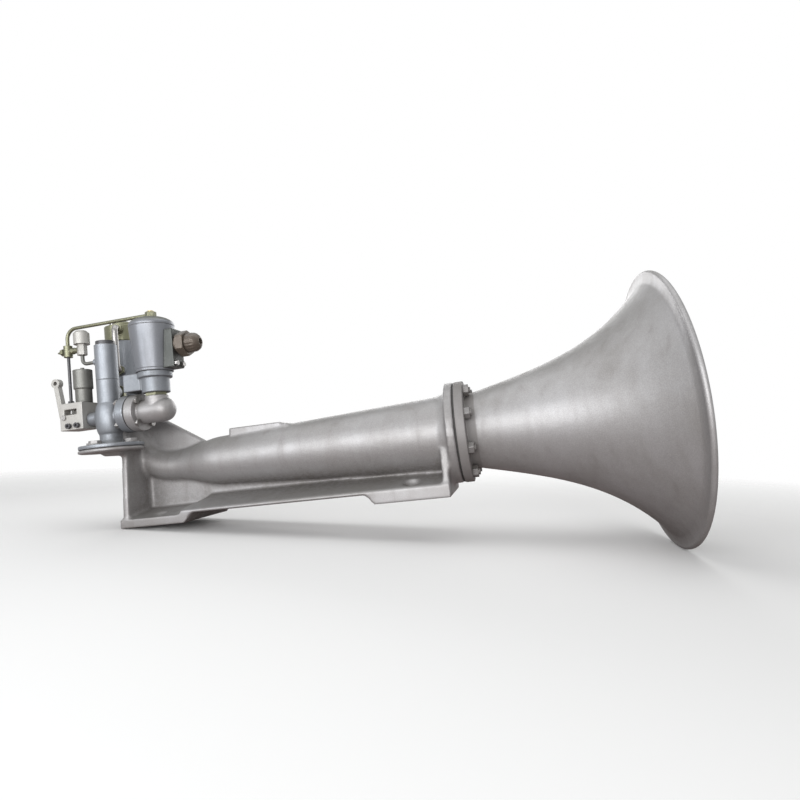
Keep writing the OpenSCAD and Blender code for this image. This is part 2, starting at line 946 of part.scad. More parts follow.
module balance_pipe() {
    color("gainsboro")
        at_head()
            rotate([0, 0, balance_angle])
                difference() {
                    balance_run(balance_r, 0);
                    balance_run(balance_bore_r, bite);
                }
}

module balance_nuts() {
    color("darkkhaki")
        at_head()
            rotate([0, 0, balance_angle])
                for (z = [balance_low_z, balance_high_z])
                    translate([barrel_r + balance_boss_t, 0, z])
                        difference() {
                            bar_x(0, balance_nut_t, balance_boss_r, hex);
                            bar_x(-bite, balance_nut_t + 2 * bite, balance_r + fit);
                        }
}

// Sleeve between the valve and the sound head
module air_link() {
    color("gray")
        at_valve()
            translate([0, 0, link_z])
                rotate([0, 0, link_angle])
                    difference() {
                        bar_x(link_boss_reach, link_sleeve_t, link_sleeve_r, hex);
                        bar_x(link_boss_reach - bite, link_sleeve_t + 2 * bite, link_bore_r);
                    }
}

// The bulged outside of the valve chamber
module chamber_bulge() {
    low_z = port_h - 30;
    length = 53;
    steps = 16;
    at_valve()
        rotate_extrude()
            polygon(concat(
                [[0, low_z]],
                [
                    for (i = [0 : steps])
                        let (u = i / steps)
                        [cylinder_r + (chamber_r - cylinder_r) * pow(sin(180 * u), 0.6), low_z + u * length]
                ],
                [[0, low_z + length]]
            ));
}

module valve_body() {
    color("slategray")
        difference() {
            union() {
                at_valve() {
                    bar_z(stand_h, valve_foot_t, stand_r - 1);
                    bar_z(stand_h, valve_top_z - stand_h, cylinder_r);
                    translate([0, 0, valve_foot_z - bite])
                        cylinder(h = 8, r1 = cylinder_r + 6, r2 = cylinder_r);
                    translate([0, 0, link_z])
                        rotate([0, 0, link_angle])
                            bar_x(0, link_boss_reach, link_boss_r);
                }
                chamber_bulge();
                translate([0, valve_y, port_h]) {
                    bar_x(valve_x, port_x - valve_x, port_boss_r);
                    bar_x(port_x, port_flange_t, port_flange_r);
                    bar_x(block_right_x, valve_x - block_right_x, side_boss_r);
                }
            }
            at_valve() {
                bar_z(port_h - chamber_drop, seat_z - seat_shelf_t - port_h + chamber_drop, chamber_bore_r);
                bar_z(port_h, seat_z, seat_bore_r + 1);
                bar_z(seat_z, valve_top_z, seat_r + fit);
                bar_z(seat_z + seat_t - 1, valve_top_z, upper_bore_r);
                translate([0, 0, link_z])
                    rotate([0, 0, link_angle])
                        bar_x(0, link_boss_reach + bite, link_bore_r);
                on_circle(4, foot_pcd_r)
                    bar_z(stand_h - bite, valve_foot_t + 2 * bite, foot_bolt_r + fit);
            }
            translate([0, valve_y, port_h]) {
                bar_x(valve_x, port_x + port_flange_t + bite - valve_x, port_bore_r);
                port_holes(port_x - bite, port_flange_t + 2 * bite);
            }
        }
}

// Bolt holes of the side port joint, in line with its axis
module port_holes(x, length) {
    translate([x, 0, 0])
        rotate([0, 90, 0])
            on_circle(4, port_pcd_r, 45)
                cylinder(h = length, r = port_bolt_r + fit);
}

module foot_bolts() {
    washer_t = 1.5;
    head_t = 5;
    color("gray")
        at_valve()
            on_circle(4, foot_pcd_r) {
                bar_z(stand_h - stand_t, valve_foot_t + stand_t + bite, foot_bolt_r);
                bar_z(valve_foot_z, washer_t, (hex_ratio + 0.4) * foot_bolt_r);
                bar_z(valve_foot_z, washer_t + head_t, hex_ratio * foot_bolt_r, hex);
            }
}

module valve_seat() {
    color("goldenrod")
        at_valve()
            ring_z(seat_z, seat_t, seat_r, seat_bore_r);
}

module poppet_seal() {
    color("black")
        at_valve()
            ring_z(seat_z + seat_t, seal_t, seat_bore_r + 3, 2.5);
}

module valve_poppet() {
    disc_z = seat_z + seat_t + seal_t;
    disc_t = 4;
    stem_r = 4;
    color("lightsteelblue")
        at_valve() {
            bar_z(seat_z + seat_t - 1, disc_t, 2.5 - fit);
            bar_z(disc_z, disc_t, poppet_r);
            bar_z(disc_z, piston_low_z - disc_z + bite, stem_r);
            difference() {
                bar_z(piston_low_z, piston_len, cylinder_bore_r - fit);
                ring_z(piston_low_z + 5, 2.5, cylinder_bore_r + 1, cylinder_bore_r - 1.5);
            }
        }
}

module valve_spring() {
    low_z = piston_low_z + piston_len;
    color("darkgray")
        at_valve()
            coil_spring(low_z, cylinder_top_z - cap_plug_t - low_z, cylinder_bore_r - 3.5, 1.1, 5);
}

module valve_cylinder() {
    color("lightslategray")
        difference() {
            at_valve() {
                bar_z(valve_top_z, cylinder_h, cylinder_r);
                bar_z(valve_top_z - spigot_t, spigot_t + bite, upper_bore_r - fit);
                translate([0, 0, side_boss_z])
                    bar_x(-cylinder_r - side_boss_t, cylinder_r + side_boss_t, 6);
            }
            at_valve() {
                bar_z(valve_top_z - spigot_t - bite, cylinder_h + spigot_t + 2 * bite, cylinder_bore_r);
                translate([0, 0, side_boss_z])
                    bar_x(-cylinder_r - side_boss_t - bite, cylinder_r, 1.5);
            }
        }
}

module cylinder_cap() {
    slot_t = 3;
    color("dimgray")
        at_valve()
            difference() {
                union() {
                    bar_z(cylinder_top_z - cap_plug_t, cap_plug_t + bite, cylinder_bore_r - fit);
                    bar_z(cylinder_top_z, cap_t, cylinder_r - 2.5);
                    bar_z(poppet_stop_z, cylinder_top_z - poppet_stop_z, stop_pin_r);
                }
                translate([-cylinder_r, -slot_t / 2, cylinder_top_z + cap_t - slot_t])
                    cube([2 * cylinder_r, slot_t, slot_t + bite]);
            }
}

module port_gasket() {
    color("black")
        translate([0, valve_y, port_h])
            difference() {
                bar_x(port_x + port_flange_t, gasket_t, port_flange_r - 1);
                bar_x(port_x + port_flange_t - bite, gasket_t + 2 * bite, port_bore_r);
                port_holes(port_x + port_flange_t - bite, gasket_t + 2 * bite);
            }
}

module port_bolts() {
    head_t = 4.5;
    thread_end = 3;
    grip = 2 * port_flange_t + gasket_t;
    color("gray")
        translate([port_x, valve_y, port_h])
            rotate([0, 90, 0])
                on_circle(4, port_pcd_r, 45) {
                    bar_z(-head_t - thread_end, grip + head_t + thread_end + bite, port_bolt_r);
                    rotate([0, 0, 30]) {
                        bar_z(-head_t, head_t, hex_ratio * port_bolt_r, hex);
                        bar_z(grip, head_t, hex_ratio * port_bolt_r, hex);
                    }
                }
}

// Outside of the feed chamber with its domed end, from its joint face
module feed_chamber(face_x) {
    steps = 10;
    straight = feed_x + feed_past - face_x;
    translate([face_x, valve_y, port_h])
        rotate([0, 90, 0])
            rotate_extrude()
                polygon(concat(
                    [[0, 0], [feed_pipe_r, 0]],
                    [
                        for (i = [0 : steps])
                            let (a = i * 90 / steps)
                            [feed_pipe_r * cos(a), straight + feed_dome_len * sin(a)]
                    ]
                ));
}

module feed_elbow() {
    face_x = port_x + port_flange_t + gasket_t;
    color("lightgray")
        difference() {
            union() {
                feed_chamber(face_x);
                translate([0, valve_y, port_h])
                    bar_x(face_x, port_flange_t, port_flange_r);
                at_feed()
                    bar_z(port_h, feed_top_z - port_h, feed_neck_r);
            }
            translate([0, valve_y, port_h]) {
                bar_x(face_x - bite, feed_x + nipple_r - face_x, port_bore_r);
                port_holes(face_x - bite, port_flange_t + 2 * bite);
            }
            at_feed() {
                bar_z(port_h, feed_top_z - port_h, nipple_r - 1);
                bar_z(feed_top_z - 8, 8 + bite, nipple_r + fit);
            }
        }
}

module feed_nipple() {
    color("whitesmoke")
        at_feed()
            difference() {
                union() {
                    bar_z(feed_top_z - 7, 7 + nipple_hex_t + nipple_in - clear, nipple_r);
                    bar_z(feed_top_z, nipple_hex_t, nipple_hex_r, hex);
                }
                bar_z(feed_top_z - 8, nipple_hex_t + nipple_in + 9, nipple_bore_r);
            }
}

module solenoid_body() {
    inlet_low_z = inlet_z - inlet_boss_r;
    color("darkolivegreen")
        difference() {
            union() {
                at_feed() {
                    bar_z(sol_z, sol_neck_h + bite, sol_neck_r);
                    bar_z(can_z - sol_flange_t, sol_flange_t, sol_flange_r);
                }
                translate([block_left_x, valve_y - block_side, inlet_low_z])
                    cube([feed_x - block_left_x - sol_void_r - 4, 2 * block_side, can_z - bite - inlet_low_z]);
                translate([inlet_x, inlet_face_y, inlet_z])
                    rotate([90, 0, 0])
                        cylinder(h = inlet_face_y - valve_y, r = inlet_boss_r);
            }
            translate([inlet_x, inlet_face_y + bite, inlet_z])
                rotate([90, 0, 0])
                    cylinder(h = inlet_depth + bite, r = inlet_r);
            translate([0, inlet_face_y - inlet_depth + 4, air_passage_z])
                bar_x(inlet_x, feed_x - 6 - inlet_x, air_passage_r);
            at_feed() {
                bar_z(sol_z - bite, nipple_in + bite, nipple_r + fit);
                bar_z(sol_z, can_z, nipple_bore_r);
                ring_z(sol_floor_z, can_z, sol_void_r, sol_seat_r);
                bar_z(plunger_z, can_z, sol_void_r);
            }
            translate([0, valve_y, inlet_z])
                bar_x(block_left_x - bite, plug_depth + bite, plug_r + fit);
        }
}

module body_plug() {
    washer_t = 1.5;
    head_t = 6;
    color("gray")
        translate([block_left_x, valve_y, inlet_z]) {
            bar_x(-washer_t, plug_depth, plug_r);
            bar_x(-washer_t, washer_t, hex_ratio * plug_r + 1);
            bar_x(-washer_t - head_t, head_t + bite / 2, hex_ratio * plug_r, hex);
        }
}

module core_tube() {
    pole_top_z = can_shoulder_z + 2;
    color("silver")
        at_feed()
            difference() {
                union() {
                    bar_z(can_z, core_foot_t, core_foot_r);
                    bar_z(can_z, pole_top_z - can_z, core_r + core_wall);
                    bar_z(pole_top_z - bite, can_top_z + housing_nut_t + 2 - pole_top_z + bite, can_stud_r);
                }
                bar_z(can_z - bite, pole_z - can_z + bite, core_r);
            }
}

module solenoid_plunger() {
    color("lightsteelblue")
        at_feed()
            difference() {
                bar_z(plunger_z, plunger_len, plunger_r);
                bar_z(plunger_z + plunger_len - 4, 4 + bite, plunger_r - 2.5);
            }
}

module plunger_spring() {
    low_z = plunger_z + plunger_len - 4;
    color("darkgray")
        at_feed()
            coil_spring(low_z, pole_z - low_z, plunger_r - 3.7, 0.7, 6);
}

module coil() {
    color("peru")
        at_feed()
            ring_z(coil_low_z, coil_high_z - coil_low_z, coil_r, core_r + core_wall + fit);
}

// The filled outer shape of the housing, smaller by inset
module can_shape(inset) {
    steps = 12;
    top_r = can_top_r - inset;
    rotate_extrude()
        polygon(concat(
            [[0, can_z + inset], [can_foot_r - inset, can_z + inset]],
            [
                for (i = [0 : steps])
                    let (a = i * 90 / steps)
                    [top_r * cos(a), can_shoulder_z + (can_dome_h - inset) * sin(a)]
            ]
        ));
}

module solenoid_housing() {
    color("gainsboro")
        at_feed()
            difference() {
                union() {
                    can_shape(0);
                    bar_z(can_top_z - can_wall, can_wall, can_stud_r + 5);
                }
                can_shape(can_wall);
                bar_z(can_z - bite, can_wall + 2 * bite, core_foot_r + clear);
                bar_z(can_top_z - 2 * can_wall, 3 * can_wall, can_stud_r + fit);
                translate([0, 0, gland_z])
                    bar_x(0, can_top_r + bite, cable_hole_r);
            }
}

module housing_nut() {
    color("darkkhaki")
        at_feed()
            difference() {
                rotate([0, 0, 30])
                    bar_z(can_top_z, housing_nut_t, housing_nut_r, hex);
                bar_z(can_top_z - bite, housing_nut_t + 2 * bite, can_stud_r + fit);
            }
}

module terminal_box() {
    color("saddlebrown")
        difference() {
            translate([feed_x, valve_y - box_w / 2, box_low_z])
                cube([box_face_x - feed_x, box_w, box_high_z - box_low_z]);
            at_feed()
                translate([0, 0, can_z])
                    cylinder(h = can_h, r1 = can_foot_r + fit, r2 = can_top_r + fit);
            translate([0, valve_y, gland_z])
                bar_x(feed_x, box_face_x - feed_x + bite, cable_hole_r);
            for (side = [-1, 1])
                translate([0, valve_y + side * (box_w / 2 - box_screw_in), box_low_z + box_screw_in])
                    bar_x(box_face_x - 7, 7 + bite, 2 + fit);
        }
}

module terminal_screws() {
    color("gray")
        for (side = [-1, 1])
            translate([0, valve_y + side * (box_w / 2 - box_screw_in), box_low_z + box_screw_in]) {
                bar_x(box_face_x - 6, 7, 2);
                bar_x(box_face_x, 4, 4.5, hex);
            }
}

module cable_gland() {
    color("sienna")
        translate([0, valve_y, gland_z])
            difference() {
                union() {
                    bar_x(box_face_x, gland_neck_len + bite, gland_neck_r);
                    bar_x(box_face_x + gland_neck_len, gland_hex_len, gland_hex_r, hex);
                }
                bar_x(box_face_x - bite, gland_neck_len + gland_hex_len + 2 * bite, cable_hole_r);
            }
}

module gland_nut() {
    steps = 8;
    start = box_face_x + gland_neck_len + gland_hex_len;
    straight = gland_dome_len * 0.4;
    color("sienna")
        translate([start, valve_y, gland_z])
            rotate([0, 90, 0])
                rotate_extrude()
                    polygon(concat(
                        [[cable_hole_r, 0], [gland_dome_r, 0]],
                        [
                            for (i = [0 : steps])
                                let (a = i * 70 / steps)
                                [gland_dome_r * cos(a), straight + (gland_dome_len - straight) * sin(a) / sin(70)]
                        ],
                        [[cable_hole_r, gland_dome_len]]
                    ));
}

// A pipe run in the XZ plane through the pilot line, as a bar of the given radius
module pilot_run(radius, extra) {
    flat_x = feed_x - housing_nut_r * cos(30);
    turn_x = tee_x + pilot_bend_r;
    translate([0, valve_y, 0]) {
        translate([0, 0, pilot_z])
            bar_x(turn_x, flat_x + extra - turn_x, radius);
        translate([turn_x, 0, pilot_z - pilot_bend_r])
            bend(pilot_bend_r, radius, 90, 90);
        translate([tee_x, 0, 0])
            bar_z(tee_z + tee_h / 2 - extra, pilot_z - pilot_bend_r - tee_z - tee_h / 2 + extra, radius);
    }
}

module pilot_pipe() {
    color("silver")
        difference() {
            pilot_run(pilot_r, 0);
            pilot_run(pilot_r - 1, bite);
        }
}

module pilot_tee() {
    color("darkkhaki")
        translate([tee_x, valve_y, tee_z]) {
            bar_z(-tee_h / 2, tee_h, tee_r);
            bar_x(0, shuttle_x - shuttle_hex_r * cos(30) - tee_x, tee_r - 2);
            bar_x(tee_r + bite, 5, tee_r - bite, hex);
        }
}

module bleed_plug() {
    plug_t = 5;
    tip_len = 8;
    color("darkkhaki")
        translate([tee_x - tee_r, valve_y, tee_z]) {
            bar_x(-plug_t, plug_t, tee_r - 0.5, hex);
            translate([-plug_t - tip_len, 0, 0])
                rotate([0, 90, 0])
                    cylinder(h = tip_len + bite / 2, r1 = 1.2, r2 = 4);
        }
}

module drop_pipe() {
    nut_h = 6;
    color("dimgray")
        translate([tee_x, valve_y, 0]) {
            bar_z(block_top_z, tee_z - tee_h / 2 - block_top_z, pilot_r - 0.5);
            bar_z(block_top_z, nut_h, pilot_r + 2, hex);
        }
}

module shuttle_valve() {
    hex_z = tee_z - tee_h / 2;
    color("linen")
        translate([shuttle_x, valve_y, 0]) {
            rotate([0, 0, 30])
                bar_z(hex_z, shuttle_z - hex_z + bite, shuttle_hex_r, hex);
            bar_z(shuttle_z, shuttle_h - 4, shuttle_r);
            translate([0, 0, shuttle_z + shuttle_h - 4 - bite / 2])
                cylinder(h = 4 + bite / 2, r1 = shuttle_r, r2 = shuttle_r - 4);
        }
}

// Pipe from the foot of the shuttle valve to the side of the valve cylinder
module shuttle_pipe() {
    pipe_r = 3;
    bend_r = 8;
    boss_x = valve_x - cylinder_r - side_boss_t;
    bend_x = shuttle_x + bend_r;
    bend_z = side_boss_z + bend_r;
    color("lightgray")
        translate([0, valve_y, 0]) {
            translate([0, 0, side_boss_z])
                bar_x(bend_x, boss_x - bend_x, pipe_r);
            translate([bend_x, 0, bend_z])
                bend(bend_r, pipe_r, 180, 90);
            translate([shuttle_x, 0, 0])
                bar_z(bend_z, tee_z - tee_h / 2 - bend_z, pipe_r);
        }
}

module hand_block() {
    left_x = block_right_x - block_len;
    color("whitesmoke")
        difference() {
            translate([left_x, valve_y - block_w / 2, block_low_z])
                cube([block_len, block_w, block_h]);
            translate([left_x - bite, valve_y - slot_w / 2, slot_low_z])
                cube([hand_x + 7 - left_x + bite, slot_w, slot_high_z - slot_low_z]);
            translate([pivot_x + 1, valve_y - block_w / 2 - bite, window_low_z])
                cube([hand_x - pivot_x, block_w / 2 + bite, window_h]);
            translate([pivot_x, valve_y + block_w / 2 + bite, pivot_z])
                rotate([90, 0, 0])
                    cylinder(h = block_w + 2 * bite, r = pivot_r + fit);
            at_hand()
                bar_z(slot_high_z - bite, block_top_z - slot_high_z + 2 * bite, rod_r + fit);
            for (x = block_screw_x)
                translate([x, valve_y - block_w / 2 - bite, block_low_z + block_screw_rise])
                    rotate([-90, 0, 0])
                        cylinder(h = 12 + bite, r = 2.5 + fit);
        }
}

module block_screws() {
    color("dimgray")
        for (x = block_screw_x)
            translate([x, valve_y - block_w / 2, block_low_z + block_screw_rise])
                rotate([-90, 0, 0]) {
                    bar_z(-bite, 11 + bite, 2.5);
                    difference() {
                        bar_z(-5, 5, 4.5);
                        bar_z(-6, 4, 2.2, hex);
                    }
                }
}

module hand_bonnet() {
    neck_top_z = block_top_z + bonnet_neck_h;
    color("ghostwhite")
        at_hand()
            difference() {
                union() {
                    bar_z(block_top_z, bonnet_neck_h + bite, bonnet_neck_r);
                    bar_z(neck_top_z, cup_h, cup_r);
                }
                bar_z(neck_top_z + 2, cup_h - cup_wall - 2, cup_r - cup_wall);
                bar_z(block_top_z - bite, bonnet_neck_h + cup_h + 2 * bite, rod_r + fit);
            }
}

module lever_pin() {
    color("gray")
        translate([pivot_x, valve_y + block_w / 2, pivot_z])
            rotate([90, 0, 0]) {
                cylinder(h = block_w, r = pivot_r);
                translate([0, 0, block_w])
                    cylinder(h = 2, r = pivot_r + 1.5);
                translate([0, 0, -2])
                    cylinder(h = 2, r = pivot_r + 1.5);
            }
}

// A round bar of the lever, centred on its middle plane
module lever_disc(x, z, radius, length) {
    translate([x, length / 2, z])
        rotate([90, 0, 0])
            cylinder(h = length, r = radius);
}

module hand_lever() {
    lever_x = pivot_x - lever_offset;
    half = 4;
    hub_r = 7;
    nose_r = 4;
    eye_r = 8;
    eye_hole_r = 3.5;
    eye_z = pivot_z + lever_h;
    color("whitesmoke")
        translate([0, valve_y, 0])
            difference() {
                union() {
                    rotate([90, 0, 0])
                        translate([0, 0, -lever_t / 2])
                            linear_extrude(height = lever_t)
                                polygon([
                                    [pivot_x, pivot_z - 5], [lever_x - half + lever_lean, pivot_z + 3],
                                    [lever_x - half, eye_z], [lever_x + half, eye_z],
                                    [lever_x + half + lever_lean, pivot_z + 12], [pivot_x, pivot_z + 5]
                                ]);
                    translate([pivot_x, -lever_t / 2, pivot_z - arm_t / 2 + 0.5])
                        cube([lever_reach, lever_t, arm_t - 1]);
                    lever_disc(pivot_x, pivot_z, hub_r, lever_t);
                    lever_disc(hand_x, arm_top_z - nose_r, nose_r, lever_t);
                    lever_disc(lever_x, eye_z, eye_r, lever_t);
                }
                lever_disc(pivot_x, pivot_z, pivot_r + fit, lever_t + 2 * bite);
                lever_disc(lever_x, eye_z, eye_hole_r, lever_t + 2 * bite);
            }
}

module hand_plunger() {
    cup_top_z = block_top_z + bonnet_neck_h + cup_h;
    color("gray")
        at_hand() {
            bar_z(arm_top_z, plunger_foot_t, lever_t / 2);
            bar_z(arm_top_z, cup_top_z + 4 - arm_top_z, rod_r);
            bar_z(collar_z, collar_t, collar_r);
        }
}

module hand_spring() {
    low_z = collar_z + collar_t;
    high_z = block_top_z + bonnet_neck_h + cup_h - cup_wall;
    color("darkgray")
        at_hand()
            coil_spring(low_z, high_z - low_z, 6.5, 1, 6);
}

horn_body();
bell();
bell_gasket();
bell_studs();
bell_nuts();
head_gasket();
head_body();
head_liner();
head_studs();
head_cover();
cover_screws();
sound_piston();
piston_spring();
balance_pipe();
balance_nuts();
air_link();
valve_body();
foot_bolts();
valve_seat();
valve_poppet();
poppet_seal();
valve_spring();
valve_cylinder();
cylinder_cap();
port_gasket();
port_bolts();
feed_elbow();
feed_nipple();
solenoid_body();
body_plug();
core_tube();
solenoid_plunger();
plunger_spring();
coil();
solenoid_housing();
housing_nut();
terminal_box();
terminal_screws();
cable_gland();
gland_nut();
pilot_pipe();
pilot_tee();
bleed_plug();
drop_pipe();
shuttle_valve();
shuttle_pipe();
hand_block();
block_screws();
hand_bonnet();
lever_pin();
hand_lever();
hand_plunger();
hand_spring();
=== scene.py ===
import json
from math import cos, pi, radians, sin, tan

import bmesh
import bpy
import numpy as np
from mathutils import Matrix, Vector


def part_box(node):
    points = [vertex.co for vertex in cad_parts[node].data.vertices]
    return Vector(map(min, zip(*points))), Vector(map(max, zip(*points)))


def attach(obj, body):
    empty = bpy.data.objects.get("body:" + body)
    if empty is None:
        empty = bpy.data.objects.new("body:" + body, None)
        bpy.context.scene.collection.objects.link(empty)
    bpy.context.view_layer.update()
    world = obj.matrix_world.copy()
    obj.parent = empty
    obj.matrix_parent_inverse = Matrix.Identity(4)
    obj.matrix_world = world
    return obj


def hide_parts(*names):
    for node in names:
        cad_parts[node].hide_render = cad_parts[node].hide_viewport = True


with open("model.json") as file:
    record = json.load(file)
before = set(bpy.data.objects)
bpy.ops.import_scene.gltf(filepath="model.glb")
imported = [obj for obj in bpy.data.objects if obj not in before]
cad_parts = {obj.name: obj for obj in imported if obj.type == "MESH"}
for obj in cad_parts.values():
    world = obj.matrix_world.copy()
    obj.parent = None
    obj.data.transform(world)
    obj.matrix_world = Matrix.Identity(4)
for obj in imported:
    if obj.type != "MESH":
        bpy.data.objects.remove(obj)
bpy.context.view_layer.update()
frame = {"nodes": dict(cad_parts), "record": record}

twoPi = 2 * pi
mm = 0.001
print("frame loaded:", len(frame["nodes"]), "nodes")


# quads between neighbouring points of a grid; a closed side joins its last row or column to its first
def gridFaces(rows, cols, closeRows, closeCols):
    i = np.arange(rows if closeRows else rows - 1)
    j = np.arange(cols if closeCols else cols - 1)
    i, j = np.meshgrid(i, j, indexing="ij")
    iNext, jNext = (i + 1) % rows, (j + 1) % cols
    quads = [i * cols + j, i * cols + jNext, iNext * cols + jNext, iNext * cols + j]
    return np.stack(quads, -1).reshape(-1, 4)


def mergeDoubles(mesh, outward=False):
    # joins points that lie together, which closes seams and poles
    bm = bmesh.new()
    bm.from_mesh(mesh)
    bmesh.ops.remove_doubles(bm, verts=bm.verts, dist=2e-6)
    if outward:
        bmesh.ops.recalc_face_normals(bm, faces=bm.faces)
    bm.to_mesh(mesh)
    bm.free()


def addMesh(name, grids, body="horn", sharp=40):
    # grids are (points, closeRows, closeCols) and become one mesh
    verts, faces, base = [], [], 0
    for points, closeRows, closeCols in grids:
        rows, cols = points.shape[:2]
        verts.append(points.reshape(-1, 3))
        faces.append(gridFaces(rows, cols, closeRows, closeCols) + base)
        base += rows * cols
    verts, faces = np.concatenate(verts), np.concatenate(faces)
    mesh = bpy.data.meshes.new(name)
    mesh.vertices.add(len(verts))
    mesh.vertices.foreach_set("co", verts.astype(np.float32).ravel())
    mesh.loops.add(faces.size)
    mesh.loops.foreach_set("vertex_index", faces.astype(np.int32).ravel())
    mesh.polygons.add(len(faces))
    mesh.polygons.foreach_set("loop_start", np.arange(0, faces.size, 4, dtype=np.int32))
    mesh.update(calc_edges=True)
    mergeDoubles(mesh, True)
    mesh.shade_smooth()
    mesh.set_sharp_from_angle(angle=radians(sharp))
    obj = bpy.data.objects.new(name, mesh)
    bpy.context.collection.objects.link(obj)
    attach(obj, body)
    return obj


def placed(points, place, axis):
    # turns points made about +Z until they lie about the axis, then moves them to their place
    turn = np.array(Vector(axis).to_track_quat("Z", "Y").to_matrix())
    return points @ turn.T + np.array(place, float)


def turned(profile, place, axis, steps=64):
    # surface of revolution: each row of the profile is (distance along the axis, radius)
    profile = np.asarray(profile, float)
    angle = np.arange(steps) * twoPi / steps
    z = np.repeat(profile[:, :1], steps, 1)
    r = profile[:, 1:2]
    points = np.stack([r * np.cos(angle), r * np.sin(angle), z], -1)
    return placed(points, place, axis), False, True


def rounded(profile, radius, steps=4):
    # cuts each corner of a profile with a quadratic curve that starts a radius away from it, or less
    # where a side is short
    tiny, most = 1e-7, 0.45
    pts = [np.array(p, float) for p in profile]
    out = [pts[0]]
    for before, corner, after in zip(pts[:-2], pts[1:-1], pts[2:]):
        a, b = before - corner, after - corner
        la, lb = np.linalg.norm(a), np.linalg.norm(b)
        if la < tiny or lb < tiny:
            continue
        cut = min(radius, most * la, most * lb)
        start, end = corner + a / la * cut, corner + b / lb * cut
        t = np.linspace(0, 1, steps + 1)[:, None]
        out.extend((1 - t) ** 2 * start + 2 * t * (1 - t) * corner + t ** 2 * end)
    out.append(pts[-1])
    return np.array(out)


def hexSolid(place, axis, radius, height, hole=0.0, first=0.0, steps=72):
    # hexagon: its radius is a flat's distance over the cosine of the angle from that flat's middle;
    # the corners are just broken, and a 30 degree cone cuts them at the top and the bottom
    angle = np.arange(steps) * twoPi / steps
    side = (angle - radians(first) + pi / 6) % (pi / 3) - pi / 6
    hexR = np.minimum(radius * cos(pi / 6) / np.cos(side), radius * 0.99)
    lip, rings = radius * 0.9, 4
    fall = (radius - lip) * tan(radians(30))
    rows = [(0, hole), (0, lip)]
    rows += [(fall * k / rings, lip + (radius - lip) * k / rings) for k in range(1, rings + 1)]
    rows += [(height - fall * k / rings, lip + (radius - lip) * k / rings) for k in range(rings, 0, -1)]
    rows += [(height, lip), (height, hole)]
    rows = np.array(rows)
    r = np.minimum(hexR[None, :], rows[:, 1:2])
    z = np.repeat(rows[:, :1], steps, 1)
    points = np.stack([r * np.cos(angle), r * np.sin(angle), z], -1)
    return placed(points, place, axis), False, True


def threadEnd(place, axis, radius, length, pitch, steps=32):
    # radius falls and rises once per pitch and follows the angle, which makes the helix; the end is
    # cut by a 45 degree cone
    perPitch, depth, tip = 6, 0.06 * radius, radius * 0.8
    z = np.linspace(0, length, max(int(length / pitch * perPitch), 4))
    angle = np.arange(steps) * twoPi / steps
    wave = np.abs(((z[:, None] / pitch - angle[None, :] / twoPi) % 1) * 2 - 1)
    r = radius - depth * wave
    r = np.minimum(r, tip + (length - z[:, None]))
    points = np.stack([r * np.cos(angle), r * np.sin(angle), np.repeat(z[:, None], steps, 1)], -1)
    cap = points[-1:].copy()
    cap[..., :2] = 0
    foot = points[:1].copy()
    foot[..., :2] = 0
    return placed(np.concatenate([foot, points, cap]), place, axis), False, True


def onCircle(centre, axis, radius, count, first):
    # evenly spaced points on a circle, and the angle of each in degrees
    angle = radians(first) + np.arange(count) * twoPi / count
    local = np.stack([radius * np.cos(angle), radius * np.sin(angle), 0 * angle], -1)
    return placed(local, centre, axis), np.degrees(angle)


def castSkin(node, voxel, soften=6, body="horn"):
    # the node's own shape with the edges and inner corners softened as on a casting
    obj = bpy.data.objects.new(node + "_skin", frame["nodes"][node].data.copy())
    bpy.context.collection.objects.link(obj)
    mergeDoubles(obj.data)
    remesh = obj.modifiers.new("remesh", "REMESH")
    remesh.mode = "VOXEL"
    remesh.voxel_size = voxel
    smooth = obj.modifiers.new("smooth", "SMOOTH")
    smooth.factor = 0.5
    smooth.iterations = soften
    graph = bpy.context.evaluated_depsgraph_get()
    mesh = bpy.data.meshes.new_from_object(obj.evaluated_get(graph))
    obj.modifiers.clear()
    obj.data = mesh
    low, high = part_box(node)
    co = np.empty(len(mesh.vertices) * 3, np.float32)
    mesh.vertices.foreach_get("co", co)
    co = np.clip(co.reshape(-1, 3), np.array(low), np.array(high))
    mesh.vertices.foreach_set("co", co.ravel())
    mesh.update()
    mesh.shade_smooth()
    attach(obj, body)
    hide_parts(node)
    return obj


# camera at the photo's place: the horn lies on the floor on its rear foot and the rim of its bell
camSet = {
    "place": (0.3700, -0.8680, 0.0834), "turn": 10.593, "tilt": -5.0, "roll": -6.606, "lens": 23.85,
}
camData = bpy.data.cameras.new("photo_camera")
camData.lens = camSet["lens"]
cam = bpy.data.objects.new("photo_camera", camData)
bpy.context.collection.objects.link(cam)
cam.matrix_world = (
    Matrix.Translation(camSet["place"])
    @ Matrix.Rotation(radians(camSet["turn"]), 4, "Z")
    @ Matrix.Rotation(radians(90 - camSet["tilt"]), 4, "X")
    @ Matrix.Rotation(radians(camSet["roll"]), 4, "Z")
)
scene = bpy.context.scene
scene.camera = cam
scene.view_settings.view_transform = "Standard"


def make(tree, kind, inputs=None, **settings):
    # adds a node, sets its properties, then fills or links its inputs
    node = tree.nodes.new(kind)
    for key, value in settings.items():
        setattr(node, key, value)
    for key, value in (inputs or {}).items():
        if isinstance(value, bpy.types.NodeSocket):
            tree.links.new(value, node.inputs[key])
        else:
            node.inputs[key].default_value = value
    return node


def calc(tree, operation, a, b=0.0, clamp=False):
    return make(tree, "ShaderNodeMath", {0: a, 1: b}, operation=operation, use_clamp=clamp).outputs[0]


def remap(tree, value, low, high, toLow=0.0, toHigh=1.0):
    ends = {"From Min": low, "From Max": high, "To Min": toLow, "To Max": toHigh}
    return make(tree, "ShaderNodeMapRange", {"Value": value, **ends}, clamp=True).outputs["Result"]


